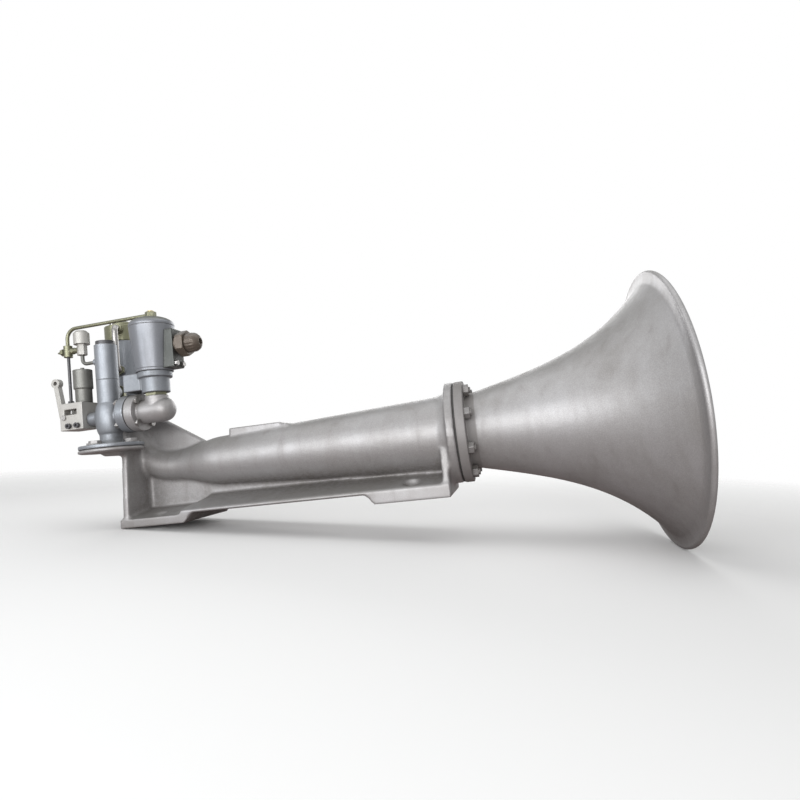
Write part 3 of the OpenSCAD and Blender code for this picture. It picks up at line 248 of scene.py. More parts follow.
def scaled(tree, vector, amount):
    inputs = {0: vector, "Scale": amount}
    return make(tree, "ShaderNodeVectorMath", inputs, operation="SCALE").outputs[0]


def stretched(tree, vector, factors):
    inputs = {0: vector, 1: factors}
    return make(tree, "ShaderNodeVectorMath", inputs, operation="MULTIPLY").outputs[0]


def blendColour(tree, amount, first, second):
    return make(tree, "ShaderNodeMix", {0: amount, 6: first, 7: second}, data_type="RGBA").outputs[2]


def startGroup(name, inputs, outputs):
    tree = bpy.data.node_groups.new(name, "ShaderNodeTree")
    for label, kind, value in inputs:
        socket = tree.interface.new_socket(name=label, in_out="INPUT", socket_type=kind)
        if value is not None:
            socket.default_value = value
    for label, kind in outputs:
        tree.interface.new_socket(name=label, in_out="OUTPUT", socket_type=kind)
    return tree, tree.nodes.new("NodeGroupInput").outputs, tree.nodes.new("NodeGroupOutput")


def endGroup(tree, out, values):
    for label, value in values.items():
        tree.links.new(value, out.inputs[label])
    return tree


def use(tree, group, inputs=None):
    return make(tree, "ShaderNodeGroup", inputs, node_tree=group).outputs


def objectPlace(tree):
    return make(tree, "ShaderNodeTexCoord").outputs["Object"]


def noise(tree, place, scale, detail=2.0, rough=0.5):
    inputs = {"Vector": place, "Scale": scale, "Detail": detail, "Roughness": rough}
    return make(tree, "ShaderNodeTexNoise", inputs).outputs["Fac"]


def softNormal(tree, radius):
    # normal as if the edges were rounded to this radius
    return make(tree, "ShaderNodeBevel", {"Radius": radius}, samples=4).outputs["Normal"]


# scales are features per metre, spans are the values between which an effect fades in, and a least
# or most is what it fades from or to
grainSet = {
    "fine": 900.0, "slow": 60.0, "cell": 240.0, "rare": 95.0, "pitSpan": (0.0, 0.16),
    "rareSpan": (0.56, 0.66), "fineShare": 0.5, "slowShare": 1.2, "depth": 0.0002,
}


def grainGroup(look):
    # sand-cast skin under paint: fine grain, small pits and slow waves, all as one bump
    tree, given, out = startGroup(
        "casting_grain",
        [
            ("Size", "NodeSocketFloat", 1.0), ("Depth", "NodeSocketFloat", 1.0),
            ("Edge", "NodeSocketFloat", 0.001),
        ],
        [("Normal", "NodeSocketVector"), ("Grain", "NodeSocketFloat")],
    )
    place = scaled(tree, objectPlace(tree), calc(tree, "DIVIDE", 1.0, given["Size"]))
    fine = noise(tree, place, look["fine"], 3.0, 0.6)
    slow = noise(tree, place, look["slow"])
    cells = make(tree, "ShaderNodeTexVoronoi", {"Vector": place, "Scale": look["cell"]})
    pits = remap(tree, cells.outputs["Distance"], *look["pitSpan"], 1.0, 0.0)
    rare = remap(tree, noise(tree, place, look["rare"]), *look["rareSpan"])
    pits = calc(tree, "MULTIPLY", pits, rare)
    height = calc(tree, "MULTIPLY", fine, look["fineShare"])
    height = calc(tree, "ADD", height, calc(tree, "MULTIPLY", slow, look["slowShare"]))
    height = calc(tree, "SUBTRACT", height, pits)
    soft = softNormal(tree, given["Edge"])
    distance = calc(tree, "MULTIPLY", given["Depth"], look["depth"])
    bump = make(tree, "ShaderNodeBump", {"Height": height, "Distance": distance, "Normal": soft})
    return endGroup(tree, out, {"Normal": bump.outputs[0], "Grain": fine})


ageAndShadeSet = {
    "cloud": 9.0, "spot": 140.0, "run": (60.0, 60.0, 7.0), "hollowSpan": (0.75, 0.25),
    "spotSpan": (0.32, 0.6), "spotLeast": 0.45, "runSpan": (0.6, 0.78), "runMost": 0.22,
    "edgeSpan": (0.985, 0.9), "rubSpan": (0.48, 0.6), "chipSpan": (0.735, 0.75),
    "cloudShare": 0.7, "runShare": 0.3, "driftSpan": (0.36, 0.64), "topSpan": (0.35, 0.85),
    "patchSpan": (0.3, 0.6), "patchLeast": 0.5,
}


def ageAndShadeGroup(look):
    # dirt and painted shade in hollows, where paint is rubbed off, how its tone drifts, and dust and
    # painted shade on upward faces
    tree, given, out = startGroup(
        "service_age_and_shade",
        [("Reach", "NodeSocketFloat", 0.02), ("Edge", "NodeSocketFloat", 0.0015)],
        [(label, "NodeSocketFloat") for label in ("DirtShade", "Wear", "Drift", "DustShade")],
    )
    place = objectPlace(tree)
    cloud = noise(tree, place, look["cloud"], 6.0, 0.62)
    spots = noise(tree, place, look["spot"], 4.0, 0.7)
    runs = noise(tree, stretched(tree, place, look["run"]), 1.0, 3.0)
    # ambient occlusion darkens hollows, corners and gaps between parts: painted shade, broken by spots
    # and joined by runs of dirt
    hollow = make(
        tree, "ShaderNodeAmbientOcclusion", {"Distance": given["Reach"]}, samples=6,
    ).outputs["AO"]
    dirtShade = remap(tree, hollow, *look["hollowSpan"])
    dirtShade = calc(tree, "MULTIPLY", dirtShade, remap(tree, spots, *look["spotSpan"], look["spotLeast"], 1.0))
    dirtShade = calc(tree, "ADD", dirtShade, remap(tree, runs, *look["runSpan"], 0.0, look["runMost"]), True)
    # a rounded normal turns away from the true one only near an edge
    normal = make(tree, "ShaderNodeNewGeometry").outputs["Normal"]
    soft = softNormal(tree, given["Edge"])
    turn = make(
        tree, "ShaderNodeVectorMath", {0: normal, 1: soft}, operation="DOT_PRODUCT",
    ).outputs["Value"]
    edge = remap(tree, turn, *look["edgeSpan"])
    wear = calc(tree, "MULTIPLY", edge, remap(tree, spots, *look["rubSpan"]))
    wear = calc(tree, "MAXIMUM", wear, remap(tree, spots, *look["chipSpan"]))
    drift = calc(tree, "MULTIPLY", cloud, look["cloudShare"])
    drift = calc(tree, "ADD", drift, calc(tree, "MULTIPLY", runs, look["runShare"]))
    drift = remap(tree, drift, *look["driftSpan"])
    # upward faces get a dark film: painted shade on top faces, in dust-like patches
    top = remap(tree, make(tree, "ShaderNodeSeparateXYZ", {0: soft}).outputs["Z"], *look["topSpan"])
    dustShade = calc(tree, "MULTIPLY", top, remap(tree, cloud, *look["patchSpan"], look["patchLeast"], 1.0))
    return endGroup(tree, out, {"DirtShade": dirtShade, "Wear": wear, "Drift": drift, "DustShade": dustShade})


toolSet = {"edge": 0.0004, "depth": 0.00005}


def toolGroup(look):
    # lines left by a cutting tool, as noise pressed together along one axis
    tree, given, out = startGroup(
        "tool_marks",
        [("Stretch", "NodeSocketVector", (1.0, 1.0, 1.0))],
        [("Normal", "NodeSocketVector"), ("Marks", "NodeSocketFloat")],
    )
    marks = noise(tree, stretched(tree, objectPlace(tree), given["Stretch"]), 1.0, 4.0, 0.7)
    soft = softNormal(tree, look["edge"])
    bump = make(tree, "ShaderNodeBump", {"Height": marks, "Distance": look["depth"], "Normal": soft})
    return endGroup(tree, out, {"Normal": bump.outputs[0], "Marks": marks})


grain, ageAndShade, tool = grainGroup(grainSet), ageAndShadeGroup(ageAndShadeSet), toolGroup(toolSet)


def startMaterial(name):
    mat = bpy.data.materials.new(name)
    mat.use_nodes = True
    tree = mat.node_tree
    return mat, tree, tree.nodes["Principled BSDF"]


paintSet = {
    "flakeSpan": (0.42, 0.62), "ringSpan": (0.3, 0.7), "ringLeast": 0.8, "smoother": -0.05,
    "rougher": 0.06, "dirtShadeRough": 0.3, "coatRough": 0.3,
}


def paint(name, look):
    # painted casting: drifting tone, a dark film of dust and painted shade on top faces, dirt and
    # painted shade in hollows, bare metal at edges
    mat, tree, shader = startMaterial(name)
    cast = use(tree, grain, {"Size": look["size"], "Depth": look["depth"], "Edge": look["edge"]})
    ageAndShadeOut = use(tree, ageAndShade, {"Reach": look["reach"], "Edge": look["edge"]})
    colour = blendColour(tree, ageAndShadeOut["Drift"], look["colour"] + (1,), look["drift"] + (1,))
    flake = look["flake"]
    flake = remap(tree, cast["Grain"], *paintSet["flakeSpan"], 1 - flake, 1 + flake)
    colour = scaled(tree, colour, flake)
    # darker film on upward faces: dust and painted shade
    dustShadeFilm = calc(tree, "MULTIPLY", ageAndShadeOut["DustShade"], look["dustShade"])
    colour = blendColour(tree, dustShadeFilm, colour, look["dustShadeFilm"] + (1,))
    # darkening in hollows: painted shade from ambient occlusion, with dirt
    dirtShade = calc(tree, "MULTIPLY", ageAndShadeOut["DirtShade"], look["dirtShade"])
    # painted shade: a band round the bell-to-body joint is darkened, broken up by the grain
    if "shadeBand" in look:
        spot, width, fade, amount = look["shadeBand"]
        along = make(tree, "ShaderNodeSeparateXYZ", {0: objectPlace(tree)}).outputs["X"]
        away = calc(tree, "ABSOLUTE", calc(tree, "SUBTRACT", along, spot))
        ring = remap(tree, away, width, width - fade)
        broken = remap(tree, cast["Grain"], *paintSet["ringSpan"], paintSet["ringLeast"], 1.0)
        ring = calc(tree, "MULTIPLY", ring, broken)
        dirtShade = calc(tree, "MAXIMUM", dirtShade, calc(tree, "MULTIPLY", ring, amount))
    colour = blendColour(tree, dirtShade, colour, look["dirtShadeColour"] + (1,))
    wear = calc(tree, "MULTIPLY", ageAndShadeOut["Wear"], look["wear"])
    colour = blendColour(tree, wear, colour, look["bare"] + (1,))
    tree.links.new(colour, shader.inputs["Base Color"])
    metal = calc(tree, "SUBTRACT", look["metal"], calc(tree, "MULTIPLY", dirtShade, look["metal"]), True)
    tree.links.new(metal, shader.inputs["Metallic"])
    least, most = look["rough"] + paintSet["smoother"], look["rough"] + paintSet["rougher"]
    rough = remap(tree, ageAndShadeOut["Drift"], 0.0, 1.0, least, most)
    rough = calc(tree, "ADD", rough, calc(tree, "MULTIPLY", dirtShade, paintSet["dirtShadeRough"]), True)
    tree.links.new(rough, shader.inputs["Roughness"])
    tree.links.new(cast["Normal"], shader.inputs["Normal"])
    shader.inputs["Coat Weight"].default_value = look["coat"]
    shader.inputs["Coat Roughness"].default_value = paintSet["coatRough"]
    return mat


cutSet = {"reach": 0.006, "edge": 0.0006, "markSpan": (0.3, 0.7), "smoother": -0.06, "rougher": 0.08}


def machined(name, look):
    # bare metal, winding or rubber with lines across the axis whose factor is highest
    mat, tree, shader = startMaterial(name)
    cut = use(tree, tool, {"Stretch": look["stretch"]})
    ageAndShadeOut = use(tree, ageAndShade, {"Reach": cutSet["reach"], "Edge": cutSet["edge"]})
    tint = remap(tree, cut["Marks"], *cutSet["markSpan"])
    colour = blendColour(tree, tint, look["colour"] + (1,), look["drift"] + (1,))
    # darkening in hollows: painted shade from ambient occlusion, with dirt
    dirtShade = calc(tree, "MULTIPLY", ageAndShadeOut["DirtShade"], look["dirtShade"])
    colour = blendColour(tree, dirtShade, colour, look["dirtShadeColour"] + (1,))
    tree.links.new(colour, shader.inputs["Base Color"])
    least, most = look["rough"] + cutSet["smoother"], look["rough"] + cutSet["rougher"]
    rough = remap(tree, ageAndShadeOut["Drift"], 0.0, 1.0, least, most)
    tree.links.new(rough, shader.inputs["Roughness"])
    tree.links.new(cut["Normal"], shader.inputs["Normal"])
    shader.inputs["Metallic"].default_value = look["metal"]
    return mat


# the paint's film darkens upward faces and its dirt darkens hollows; both are partly painted shade
silverLook = {
    "colour": (0.385, 0.38, 0.385), "drift": (0.315, 0.305, 0.30), "dirtShadeColour": (0.10, 0.085, 0.075),
    "bare": (0.62, 0.60, 0.56), "size": 1.0, "depth": 1.0, "edge": 0.0015, "reach": 0.03,
    "flake": 0.10, "dirtShade": 0.55, "wear": 0.35, "metal": 0.5, "rough": 0.47, "coat": 0.04,
    "dustShade": 0.6, "dustShadeFilm": (0.185, 0.18, 0.17),
}
silver = paint("silver_paint", silverLook)
headLook = dict(
    silverLook, colour=(0.30, 0.32, 0.35), drift=(0.22, 0.235, 0.255), dirtShadeColour=(0.05, 0.045, 0.04),
    size=0.8, reach=0.028, dirtShade=0.9, wear=0.7, rough=0.44, edge=0.0012,
)
headPaint = paint("head_paint", headLook)
# the can's very dark film on its dome and other upward faces is painted shade
canLook = dict(
    silverLook, colour=(0.26, 0.27, 0.295), drift=(0.205, 0.215, 0.235), dirtShadeColour=(0.07, 0.06, 0.055),
    size=0.6, depth=0.4, reach=0.012, dirtShade=0.6, wear=0.4, rough=0.38, edge=0.0008, coat=0.08,
    dustShade=0.95, dustShadeFilm=(0.075, 0.08, 0.055),
)
canPaint = paint("can_paint", canLook)
oliveLook = dict(
    silverLook, colour=(0.26, 0.26, 0.17), drift=(0.20, 0.20, 0.14), dirtShadeColour=(0.05, 0.045, 0.03),
    bare=(0.55, 0.46, 0.25), size=0.7, depth=0.8, reach=0.01, dirtShade=0.7, wear=0.8, metal=0.7, rough=0.36,
    edge=0.0008, coat=0.0,
)
olive = paint("dulled_brass", oliveLook)
bronzeLook = dict(
    silverLook, colour=(0.15, 0.125, 0.10), drift=(0.10, 0.08, 0.065), dirtShadeColour=(0.03, 0.025, 0.02),
    bare=(0.40, 0.30, 0.18), size=0.7, depth=0.8, reach=0.01, dirtShade=0.6, wear=0.6, metal=0.35, rough=0.4,
    edge=0.0008, coat=0.05,
)
bronze = paint("brown_paint", bronzeLook)
paleLook = dict(
    silverLook, colour=(0.52, 0.515, 0.49), drift=(0.42, 0.41, 0.385), dirtShadeColour=(0.12, 0.10, 0.08),
    bare=(0.6, 0.58, 0.52), size=0.6, depth=0.7, reach=0.01, dirtShade=0.8, wear=0.5, metal=0.25, rough=0.42,
    edge=0.0008,
)
pale = paint("pale_paint", paleLook)
darkLook = dict(
    silverLook, colour=(0.085, 0.085, 0.09), drift=(0.06, 0.06, 0.065), dirtShadeColour=(0.03, 0.028, 0.025),
    bare=(0.35, 0.34, 0.32), size=0.6, depth=0.7, reach=0.008, dirtShade=0.5, wear=0.6, metal=0.3, rough=0.4,
    edge=0.0006,
)
dark = paint("dark_paint", darkLook)
steelLook = {
    "colour": (0.44, 0.43, 0.42), "drift": (0.32, 0.31, 0.30), "dirtShadeColour": (0.07, 0.05, 0.04),
    "stretch": (900.0, 900.0, 9000.0), "dirtShade": 0.75, "rough": 0.4, "metal": 1.0,
}
steel = machined("turned_steel", steelLook)
wireLook = dict(
    steelLook, colour=(0.34, 0.34, 0.35), drift=(0.24, 0.24, 0.25), rough=0.38, dirtShade=0.4,
)
wire = machined("spring_wire", wireLook)
brassLook = dict(
    steelLook, colour=(0.72, 0.55, 0.24), drift=(0.60, 0.44, 0.18), dirtShadeColour=(0.12, 0.08, 0.03),
)
brass = machined("turned_brass", brassLook)
copperLook = dict(
    steelLook, colour=(0.38, 0.13, 0.05), drift=(0.20, 0.06, 0.03), stretch=(60.0, 60.0, 5200.0),
    metal=0.6, rough=0.3,
)
copper = machined("varnished_winding", copperLook)
rubberLook = dict(
    steelLook, colour=(0.03, 0.03, 0.03), drift=(0.045, 0.043, 0.04), dirtShadeColour=(0.10, 0.09, 0.08),
    stretch=(1500.0, 1500.0, 1500.0), metal=0.0, rough=0.7, dirtShade=0.3,
)
rubber = machined("black_rubber", rubberLook)
slotLooks = {
    "cast": silver, "head": headPaint, "cover": olive, "brass": brass, "steel": steel, "spring": wire,
    "gasket": rubber, "can": canPaint, "bronze": bronze, "copper": copper, "pale": pale, "dark": dark,
}
duskLook = dict(
    headLook, colour=(0.20, 0.20, 0.185), drift=(0.14, 0.14, 0.13), dirtShadeColour=(0.04, 0.036, 0.03),
    metal=0.45,
)
dusk = paint("dull_grey_paint", duskLook)
nodeLooks = {"feed_nipple": olive, "pilot_pipe": olive, "shuttle_pipe": dusk, "hand_plunger": dusk}
print("materials:", len(slotLooks))


def dress(obj, mat):
    # sets the material on the object, since the mesh may be shared
    if not obj.material_slots:
        obj.data.materials.append(mat)
    for item in obj.material_slots:
        item.link = "OBJECT"
        item.material = mat


slotOf = {part["node"]: part["material_slot"] for part in frame["record"]["subparts"]}
for node, obj in frame["nodes"].items():
    dress(obj, nodeLooks.get(node, slotLooks[slotOf[node]]))


def finishPiece(obj, mat, slotName, *nodes):
    # gives a surface its material and hides the nodes that it stands for; slotName is not used
    obj.data.materials.clear()
    obj.data.materials.append(mat)
    if nodes:
        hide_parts(*nodes)
    return obj


# bell: the radius rises with 0.47 of the run, half its fourth power and a little of its twelfth;
# lengths in mm, the bead's arc in degrees
bellSet = {
    "start": 301, "length": 307, "axis": 96, "throat": 55, "mouth": 207.5, "bead": 4, "wall": 4.5,
    "flangeR": 81.5, "flangeT": 14, "rootR": 1.6, "beadArc": (200, -20), "beadTuck": 1, "beadGap": 1,
    "innerEnd": 1.5, "rows": 150, "steps": 256,
}


def bellRadius(u):
    rise = 0.47 * u + 0.5 * u ** 4 + 0.03 * u ** 12
    return bellSet["throat"] + (bellSet["mouth"] - bellSet["bead"] - bellSet["throat"]) * rise


def makeBell(look):
    # profile from the flange along the flare and round the bead, then back along the inside
    length, flangeT, flangeR, beadR = (look[key] for key in ("length", "flangeT", "flangeR", "bead"))
    u = np.linspace(flangeT / length, 1, look["rows"])
    outer = np.stack([u * length, bellRadius(u)], -1)
    foot = [(0, look["throat"] - look["wall"]), (0, flangeR), (flangeT, flangeR)]
    foot = rounded(foot + [tuple(outer[0]), tuple(outer[3])], look["rootR"])
    around = np.radians(np.linspace(*look["beadArc"], num=16))
    bead = np.stack([np.cos(around), np.sin(around)], -1) * beadR
    bead += (length - beadR, look["mouth"] - beadR)
    bead = bead[bead[:, 1] > bellRadius(np.minimum(bead[:, 0] / length, 1)) - look["beadTuck"]]
    outer = outer[outer[:, 0] < bead[0, 0] - look["beadGap"]]
    v = np.linspace(1, 0, look["rows"])
    inner = np.stack([v * length, bellRadius(v) - look["wall"]], -1)
    inner = inner[inner[:, 0] < length - look["innerEnd"]]
    profile = np.concatenate([foot, outer[4:], bead, inner, foot[:1]])
    place = (look["start"] * mm, 0, look["axis"] * mm)
    return addMesh("bell_flare", [turned(profile * mm, place, (1, 0, 0), look["steps"])])


# painted shade band at the bell-to-body joint
jointShadeBand = (0.315, 0.0165, 0.002, 0.5)  # place along the horn, half width, faded edge, amount
# the bell's paint is the silver made a little lighter: painted light on the bell, with a wide occlusion
# reach for painted shade
bellLitLook = dict(silverLook, colour=(0.41, 0.405, 0.41), reach=0.08, dirtShade=0.55, shadeBand=jointShadeBand)
bellLitPaint = paint("bell_lit_paint", bellLitLook)
finishPiece(makeBell(bellSet), bellLitPaint, "cast", "bell")
print("bell done")

# castings take the CAD shape with every edge and inner corner softened; each row has the cell size
# in mm, the rounds of smoothing, the paint and the slot
boxLook = dict(duskLook, colour=(0.095, 0.10, 0.095), drift=(0.065, 0.07, 0.065), wear=0.9)
boxPaint = paint("box_paint", boxLook)
# the body takes a wide occlusion reach for painted shade in its hollows and under the tube, and the
# painted shade band at the joint
bodyPaint = paint("body_paint", dict(silverLook, reach=0.07, dirtShade=0.75, shadeBand=jointShadeBand))
castSet = {
    "horn_body": (2.8, 4, bodyPaint, "cast"),
    "valve_body": (1.0, 4, headPaint, "head"),
    "head_body": (1.1, 3, headPaint, "head"),
    "head_cover": (0.9, 3, olive, "cover"),
    "feed_elbow": (0.9, 4, silver, "cast"),
    "solenoid_body": (0.9, 4, headPaint, "bronze"),
    "terminal_box": (0.8, 3, boxPaint, "bronze"),
    "hand_block": (0.9, 3, pale, "pale"),
    "hand_bonnet": (0.7, 3, dusk, "pale"),
}
for node, (voxel, soften, mat, slotName) in castSet.items():
    finishPiece(castSkin(node, voxel * mm, soften), mat, slotName)
print("castings done:", len(castSet))


# bolts and nuts get chamfered corners and real threads; centres, circles and heights in mm
def boltSet(name, look, mat, *nodes):
    # hexes, washers, threads and shanks are rows of (start along the axis, length)
    axis = np.array(look["axis"], float)
    centre, circle = np.array(look["centre"]) * mm, look["circle"] * mm
    spots, angles = onCircle(centre, look["axis"], circle, look["count"], look["first"])
    grids = []
    for spot, angle in zip(spots, angles):
        flat = angle + look["flat"]
        for start, height in look["hexes"]:
            foot = spot + axis * start * mm
            grids.append(hexSolid(foot, axis, look["hexR"] * mm, height * mm, first=flat))
        for start, height in look.get("washers", ()):
            edge = [(0, 0), (0, look["washerR"]), (height, look["washerR"]), (height, 0)]
            edge = rounded(edge, look["washerEdge"], steps=3)
            grids.append(turned(edge * mm, spot + axis * start * mm, axis))
        for start, length in look.get("threads", ()):
            foot = spot + axis * start * mm
            grids.append(threadEnd(foot, axis, look["studR"] * mm, length * mm, look["pitch"] * mm))
        for start, length in look.get("shanks", ()):
            edge = np.array([(0, 0), (0, look["studR"]), (length, look["studR"]), (length, 0)])
            grids.append(turned(edge * mm, spot + axis * start * mm, axis, steps=32))
    return finishPiece(addMesh(name, grids, sharp=30), mat, look["slot"], *nodes)


# the bell's nuts stand just clear of the flare at their far end
nutR, nutHigh, nutGap = 9.75, 9, 0.5
nutEnd = bellRadius((bellSet["flangeT"] + nutHigh) / bellSet["length"])
nutSet = {
    "centre": (315, 0, 96), "axis": (1, 0, 0), "circle": nutEnd + nutR * cos(pi / 6) + nutGap,
    "count": 8, "first": 22.5, "flat": 0, "hexes": [(0, nutHigh)], "hexR": nutR, "slot": "cast",
}
# the nuts and studs take the silver made darker: painted shade round the flange joint
nutShadeLook = dict(
    silverLook, colour=(0.27, 0.265, 0.265), drift=(0.21, 0.20, 0.195), dirtShade=0.9, reach=0.012,
)
nutShadePaint = paint("nut_shade_paint", nutShadeLook)
boltSet("flange_nuts", nutSet, nutShadePaint, "bell_nuts")
studSet = dict(
    nutSet, hexes=[], shanks=[(-26.5, 30)], threads=[(0, 11.9)], studR=5, pitch=1.5, slot="steel",
)
boltSet("flange_studs", studSet, nutShadePaint, "bell_studs")
headStudSet = {
    "centre": (-306, 0, 217), "axis": (0, 0, 1), "circle": 38.25, "count": 4, "first": 154.3,
    "flat": 30, "hexes": [(0, 7)], "hexR": 7.8, "shanks": [(-23.5, 24)], "threads": [(0, 10)],
    "studR": 4, "pitch": 1.25, "slot": "steel",
}
boltSet("head_stud_detail", headStudSet, headPaint, "head_studs")
footBoltSet = {
    "centre": (-278, -80, 143), "axis": (0, 0, 1), "circle": 37.5, "count": 4, "first": 0, "flat": 30,
    "hexes": [(1.5, 5)], "hexR": 9.75, "washers": [(0, 1.5)], "washerR": 11.75,
    "washerEdge": 0.3, "shanks": [(-13, 14)], "studR": 5, "slot": "steel",
}
boltSet("foot_bolt_detail", footBoltSet, silver, "foot_bolts")
portBoltSet = {
    "centre": (-246, -80, 190), "axis": (1, 0, 0), "circle": 25.57, "count": 4, "first": 45, "flat": 0,
    "hexes": [(-4.5, 4.5), (32, 4.5)], "hexR": 5.85, "shanks": [(-4, 37)], "threads": [(-7.5, 7)],
    "studR": 3, "pitch": 1, "slot": "steel",
}
boltSet("port_bolt_detail", portBoltSet, steel, "port_bolts")
print("fasteners done")

# solenoid can: radius grows evenly up to the shoulder, then a quarter ellipse closes it; foot and
# seam are rolled beads as rows of (height, radius past the wall)
canSet = {
    "place": (-187, -80, 254), "foot": 29.5, "top": 36, "height": 79, "dome": 15, "wall": 2,
    "hole": 5.1, "holeGap": 1, "lip": 1.5, "floorR": 21, "floorIn": 4, "arc": (2, 86), "footR": 0.4,
    "footRows": [(0, 0), (3.5, 0.25), (4.2, -0.35), (4.9, 0.35)],
    "seamRows": [(-3.2, -0.25), (-2.6, -0.9), (-2.0, -0.25)],
}


def makeCan(look):
    foot, top, height, wall, hole = (look[key] for key in ("foot", "top", "height", "wall", "hole"))
    crown, floorEdge = height + look["dome"], (0, foot - look["floorIn"])
    outer = rounded([floorEdge] + [(z, foot + past) for z, past in look["footRows"]], look["footR"])
    seam = [(height + z, top + past) for z, past in look["seamRows"]]
    arc = np.radians(np.linspace(*look["arc"], num=24))
    dome = np.stack([height + look["dome"] * np.sin(arc), top * np.cos(arc)], -1)
    dome = dome[dome[:, 1] > hole + look["holeGap"]]
    back = arc[::-1]
    inner = np.stack([height + (look["dome"] - wall) * np.sin(back), (top - wall) * np.cos(back)], -1)
    inner = inner[inner[:, 1] > hole]
    lip = [(crown, hole + look["lip"]), (crown, hole)]
    last = [(wall, foot - wall), (wall, look["floorR"]), (0, look["floorR"]), floorEdge]
    profile = np.concatenate([outer, seam, [(height, top)], dome, lip, inner, last])
    place = np.array(look["place"]) * mm
    return addMesh("solenoid_can", [turned(profile * mm, place, (0, 0, 1), steps=128)], sharp=35)


finishPiece(makeCan(canSet), canPaint, "can", "solenoid_housing")

# gland: a hexagon collar behind a ribbed dome whose radius dips with the cosine of the angle;
# ribFrom is where the ribs start and how soon they are full, ribTo is their end as a share of the
# dome's length and how soon they fade
glandSet = {
    "place": (-141, -80, 294), "neckR": 14, "neck": 6, "overlap": 1, "neckEdge": 0.5, "hexR": 22,
    "hex": 14, "hole": 5, "holeGap": 1, "domeR": 16, "dome": 22, "lip": 0.6, "straight": 0.4,
    "bend": 70, "ribs": 18, "ribDip": 0.045, "ribFrom": (1.5, 2), "ribTo": (0.72, 3),
}


def makeGland(look):
    place = np.array(look["place"]) * mm
    end = look["neck"] + look["overlap"]
    neck = [(0, look["hole"]), (0, look["neckR"]), (end, look["neckR"]), (end, look["hole"])]
    neck = rounded(neck, look["neckEdge"])
    grids = [turned(np.concatenate([neck, neck[:1]]) * mm, place, (1, 0, 0))]
    foot = place + np.array((look["neck"] * mm, 0, 0))
    collar = hexSolid(foot, (1, 0, 0), look["hexR"] * mm, look["hex"] * mm, look["hole"] * mm)
    grids.append((collar[0], True, True))
    return addMesh("gland_collar", grids, sharp=30)


def makeDome(look):
    # a straight part, then an ellipse that ends at the bend angle
    foot = np.array(look["place"]) * mm + np.array(((look["neck"] + look["hex"]) * mm, 0, 0))
    bend, straight = radians(look["bend"]), look["dome"] * look["straight"]
    arc = np.linspace(0, bend, num=20)
    along = straight + (look["dome"] - straight) * np.sin(arc) / sin(bend)
    shell = np.stack([along, look["domeR"] * np.cos(arc)], -1)
    edge = [(0, look["hole"]), (0, look["domeR"] - look["lip"]), (look["lip"], look["domeR"])]
    last = [(look["dome"], look["hole"]), (0, look["hole"])]
    profile = np.concatenate([edge, shell, last])
    points, closeRows, closeCols = turned(profile * mm, (0, 0, 0), (0, 0, 1), steps=144)
    angle = np.arctan2(points[..., 1], points[..., 0])
    height = points[..., 2] / mm
    (start, fadeIn), (end, fadeOut) = look["ribFrom"], look["ribTo"]
    middle = np.clip((height - start) / fadeIn, 0, 1)
    middle = middle * np.clip((look["dome"] * end - height) / fadeOut, 0, 1)
    outside = np.hypot(points[..., 0], points[..., 1]) > (look["hole"] + look["holeGap"]) * mm
    dip = 1 - look["ribDip"] * middle * outside * (0.5 + 0.5 * np.cos(look["ribs"] * angle))
    points[..., :2] *= dip[..., None]
    return addMesh("gland_dome", [(placed(points, foot, (1, 0, 0)), closeRows, closeCols)], sharp=40)


finishPiece(makeGland(glandSet), bronze, "bronze", "cable_gland")
finishPiece(makeDome(glandSet), bronze, "bronze", "gland_nut")
print("solenoid fittings done")


# floor: the plane on which the rear foot and the lowest point of the rim rest (x and z of both); the
# camera sees its colour, the horn gets the darker bounce, and further out it fades to clear
floorSet = {
    "rear": (-0.282, 0.0), "front": (0.608, -0.1115), "drop": 0.0003, "half": 6.0,
    "colour": (0.93, 0.93, 0.925), "bounce": (0.30, 0.245, 0.235), "clearAt": (0.9, 1.9),
    "rough": 0.85, "gloss": 0.2,
}


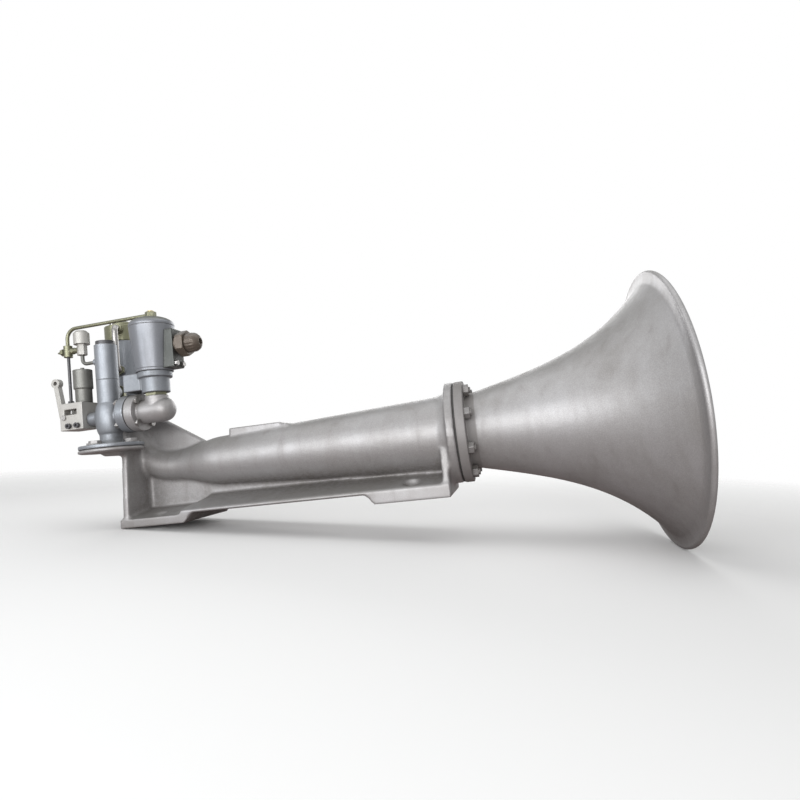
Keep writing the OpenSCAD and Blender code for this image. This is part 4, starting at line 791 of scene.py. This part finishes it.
def makeFloor(look):
    slope = (look["front"][1] - look["rear"][1]) / (look["front"][0] - look["rear"][0])
    corners = [(x * look["half"], y * look["half"]) for x, y in ((-1, -1), (1, -1), (1, 1), (-1, 1))]
    verts = [(x, y, (x - look["rear"][0]) * slope - look["drop"]) for x, y in corners]
    mesh = bpy.data.meshes.new("floor")
    mesh.from_pydata(verts, [], [(0, 1, 2, 3)])
    obj = bpy.data.objects.new("floor", mesh)
    bpy.context.collection.objects.link(obj)
    mat, tree, shader = startMaterial("pale_floor")
    seen = make(tree, "ShaderNodeLightPath").outputs["Is Camera Ray"]
    colour = blendColour(tree, seen, look["bounce"] + (1,), look["colour"] + (1,))
    tree.links.new(colour, shader.inputs["Base Color"])
    shader.inputs["Roughness"].default_value = look["rough"]
    shader.inputs["Specular IOR Level"].default_value = look["gloss"]
    place = objectPlace(tree)
    far = make(tree, "ShaderNodeVectorMath", {0: place}, operation="LENGTH").outputs["Value"]
    fade = remap(tree, far, *look["clearAt"])
    clearNode = make(tree, "ShaderNodeBsdfTransparent")
    mixed = make(tree, "ShaderNodeMixShader", {0: fade, 1: shader.outputs[0], 2: clearNode.outputs[0]})
    tree.links.new(mixed.outputs[0], tree.nodes["Material Output"].inputs["Surface"])
    mesh.materials.append(mat)
    return obj


makeFloor(floorSet)

# studio: broad soft lights to the front left, above, behind the horn and behind the camera
lightSets = {
    "key": {
        "place": (-0.65, -1.6, 0.55), "aim": (0.1, 0, 0.1), "size": (1.2, 0.8), "power": 14,
        "colour": (0.96, 0.98, 1.0),
    },
    "top": {"place": (0.25, -0.1, 1.55), "aim": (0.2, 0, 0.1), "size": (2.6, 1.4), "power": 11},
    "back": {"place": (0.0, 1.9, 0.9), "aim": (0.1, 0, 0.1), "size": (2.0, 1.0), "power": 16},
    "front": {"place": (0.45, -2.0, 0.30), "aim": (0.35, 0, 0.1), "size": (1.5, 0.7), "power": 24},
}
for name, look in lightSets.items():
    data = bpy.data.lights.new(name, "AREA")
    data.shape = "RECTANGLE"
    data.size, data.size_y = look["size"]
    data.energy = look["power"]
    data.color = look.get("colour", (1.0, 1.0, 1.0))
    lamp = bpy.data.objects.new(name, data)
    bpy.context.collection.objects.link(lamp)
    lamp.location = look["place"]
    toAim = Vector(look["aim"]) - Vector(look["place"])
    lamp.rotation_euler = toAim.to_track_quat("-Z", "Y").to_euler()

# world: white to the camera, dimmer in mirrored rays and as light on the horn
worldSet = {"seen": 1.0, "unseen": 0.34, "mirrored": 0.45}
world = bpy.data.worlds.new("studio")
scene.world = world
world.use_nodes = True
tree = world.node_tree
rays = make(tree, "ShaderNodeLightPath").outputs
direct = calc(tree, "MAXIMUM", rays["Is Camera Ray"], rays["Is Transmission Ray"])
mirrored = calc(tree, "MULTIPLY", rays["Is Glossy Ray"], worldSet["mirrored"])
direct = calc(tree, "MAXIMUM", direct, mirrored)
strength = remap(tree, direct, 0.0, 1.0, worldSet["unseen"], worldSet["seen"])
tree.nodes["Background"].inputs["Color"].default_value = (1, 1, 1, 1)
tree.links.new(strength, tree.nodes["Background"].inputs["Strength"])
print("stage done")
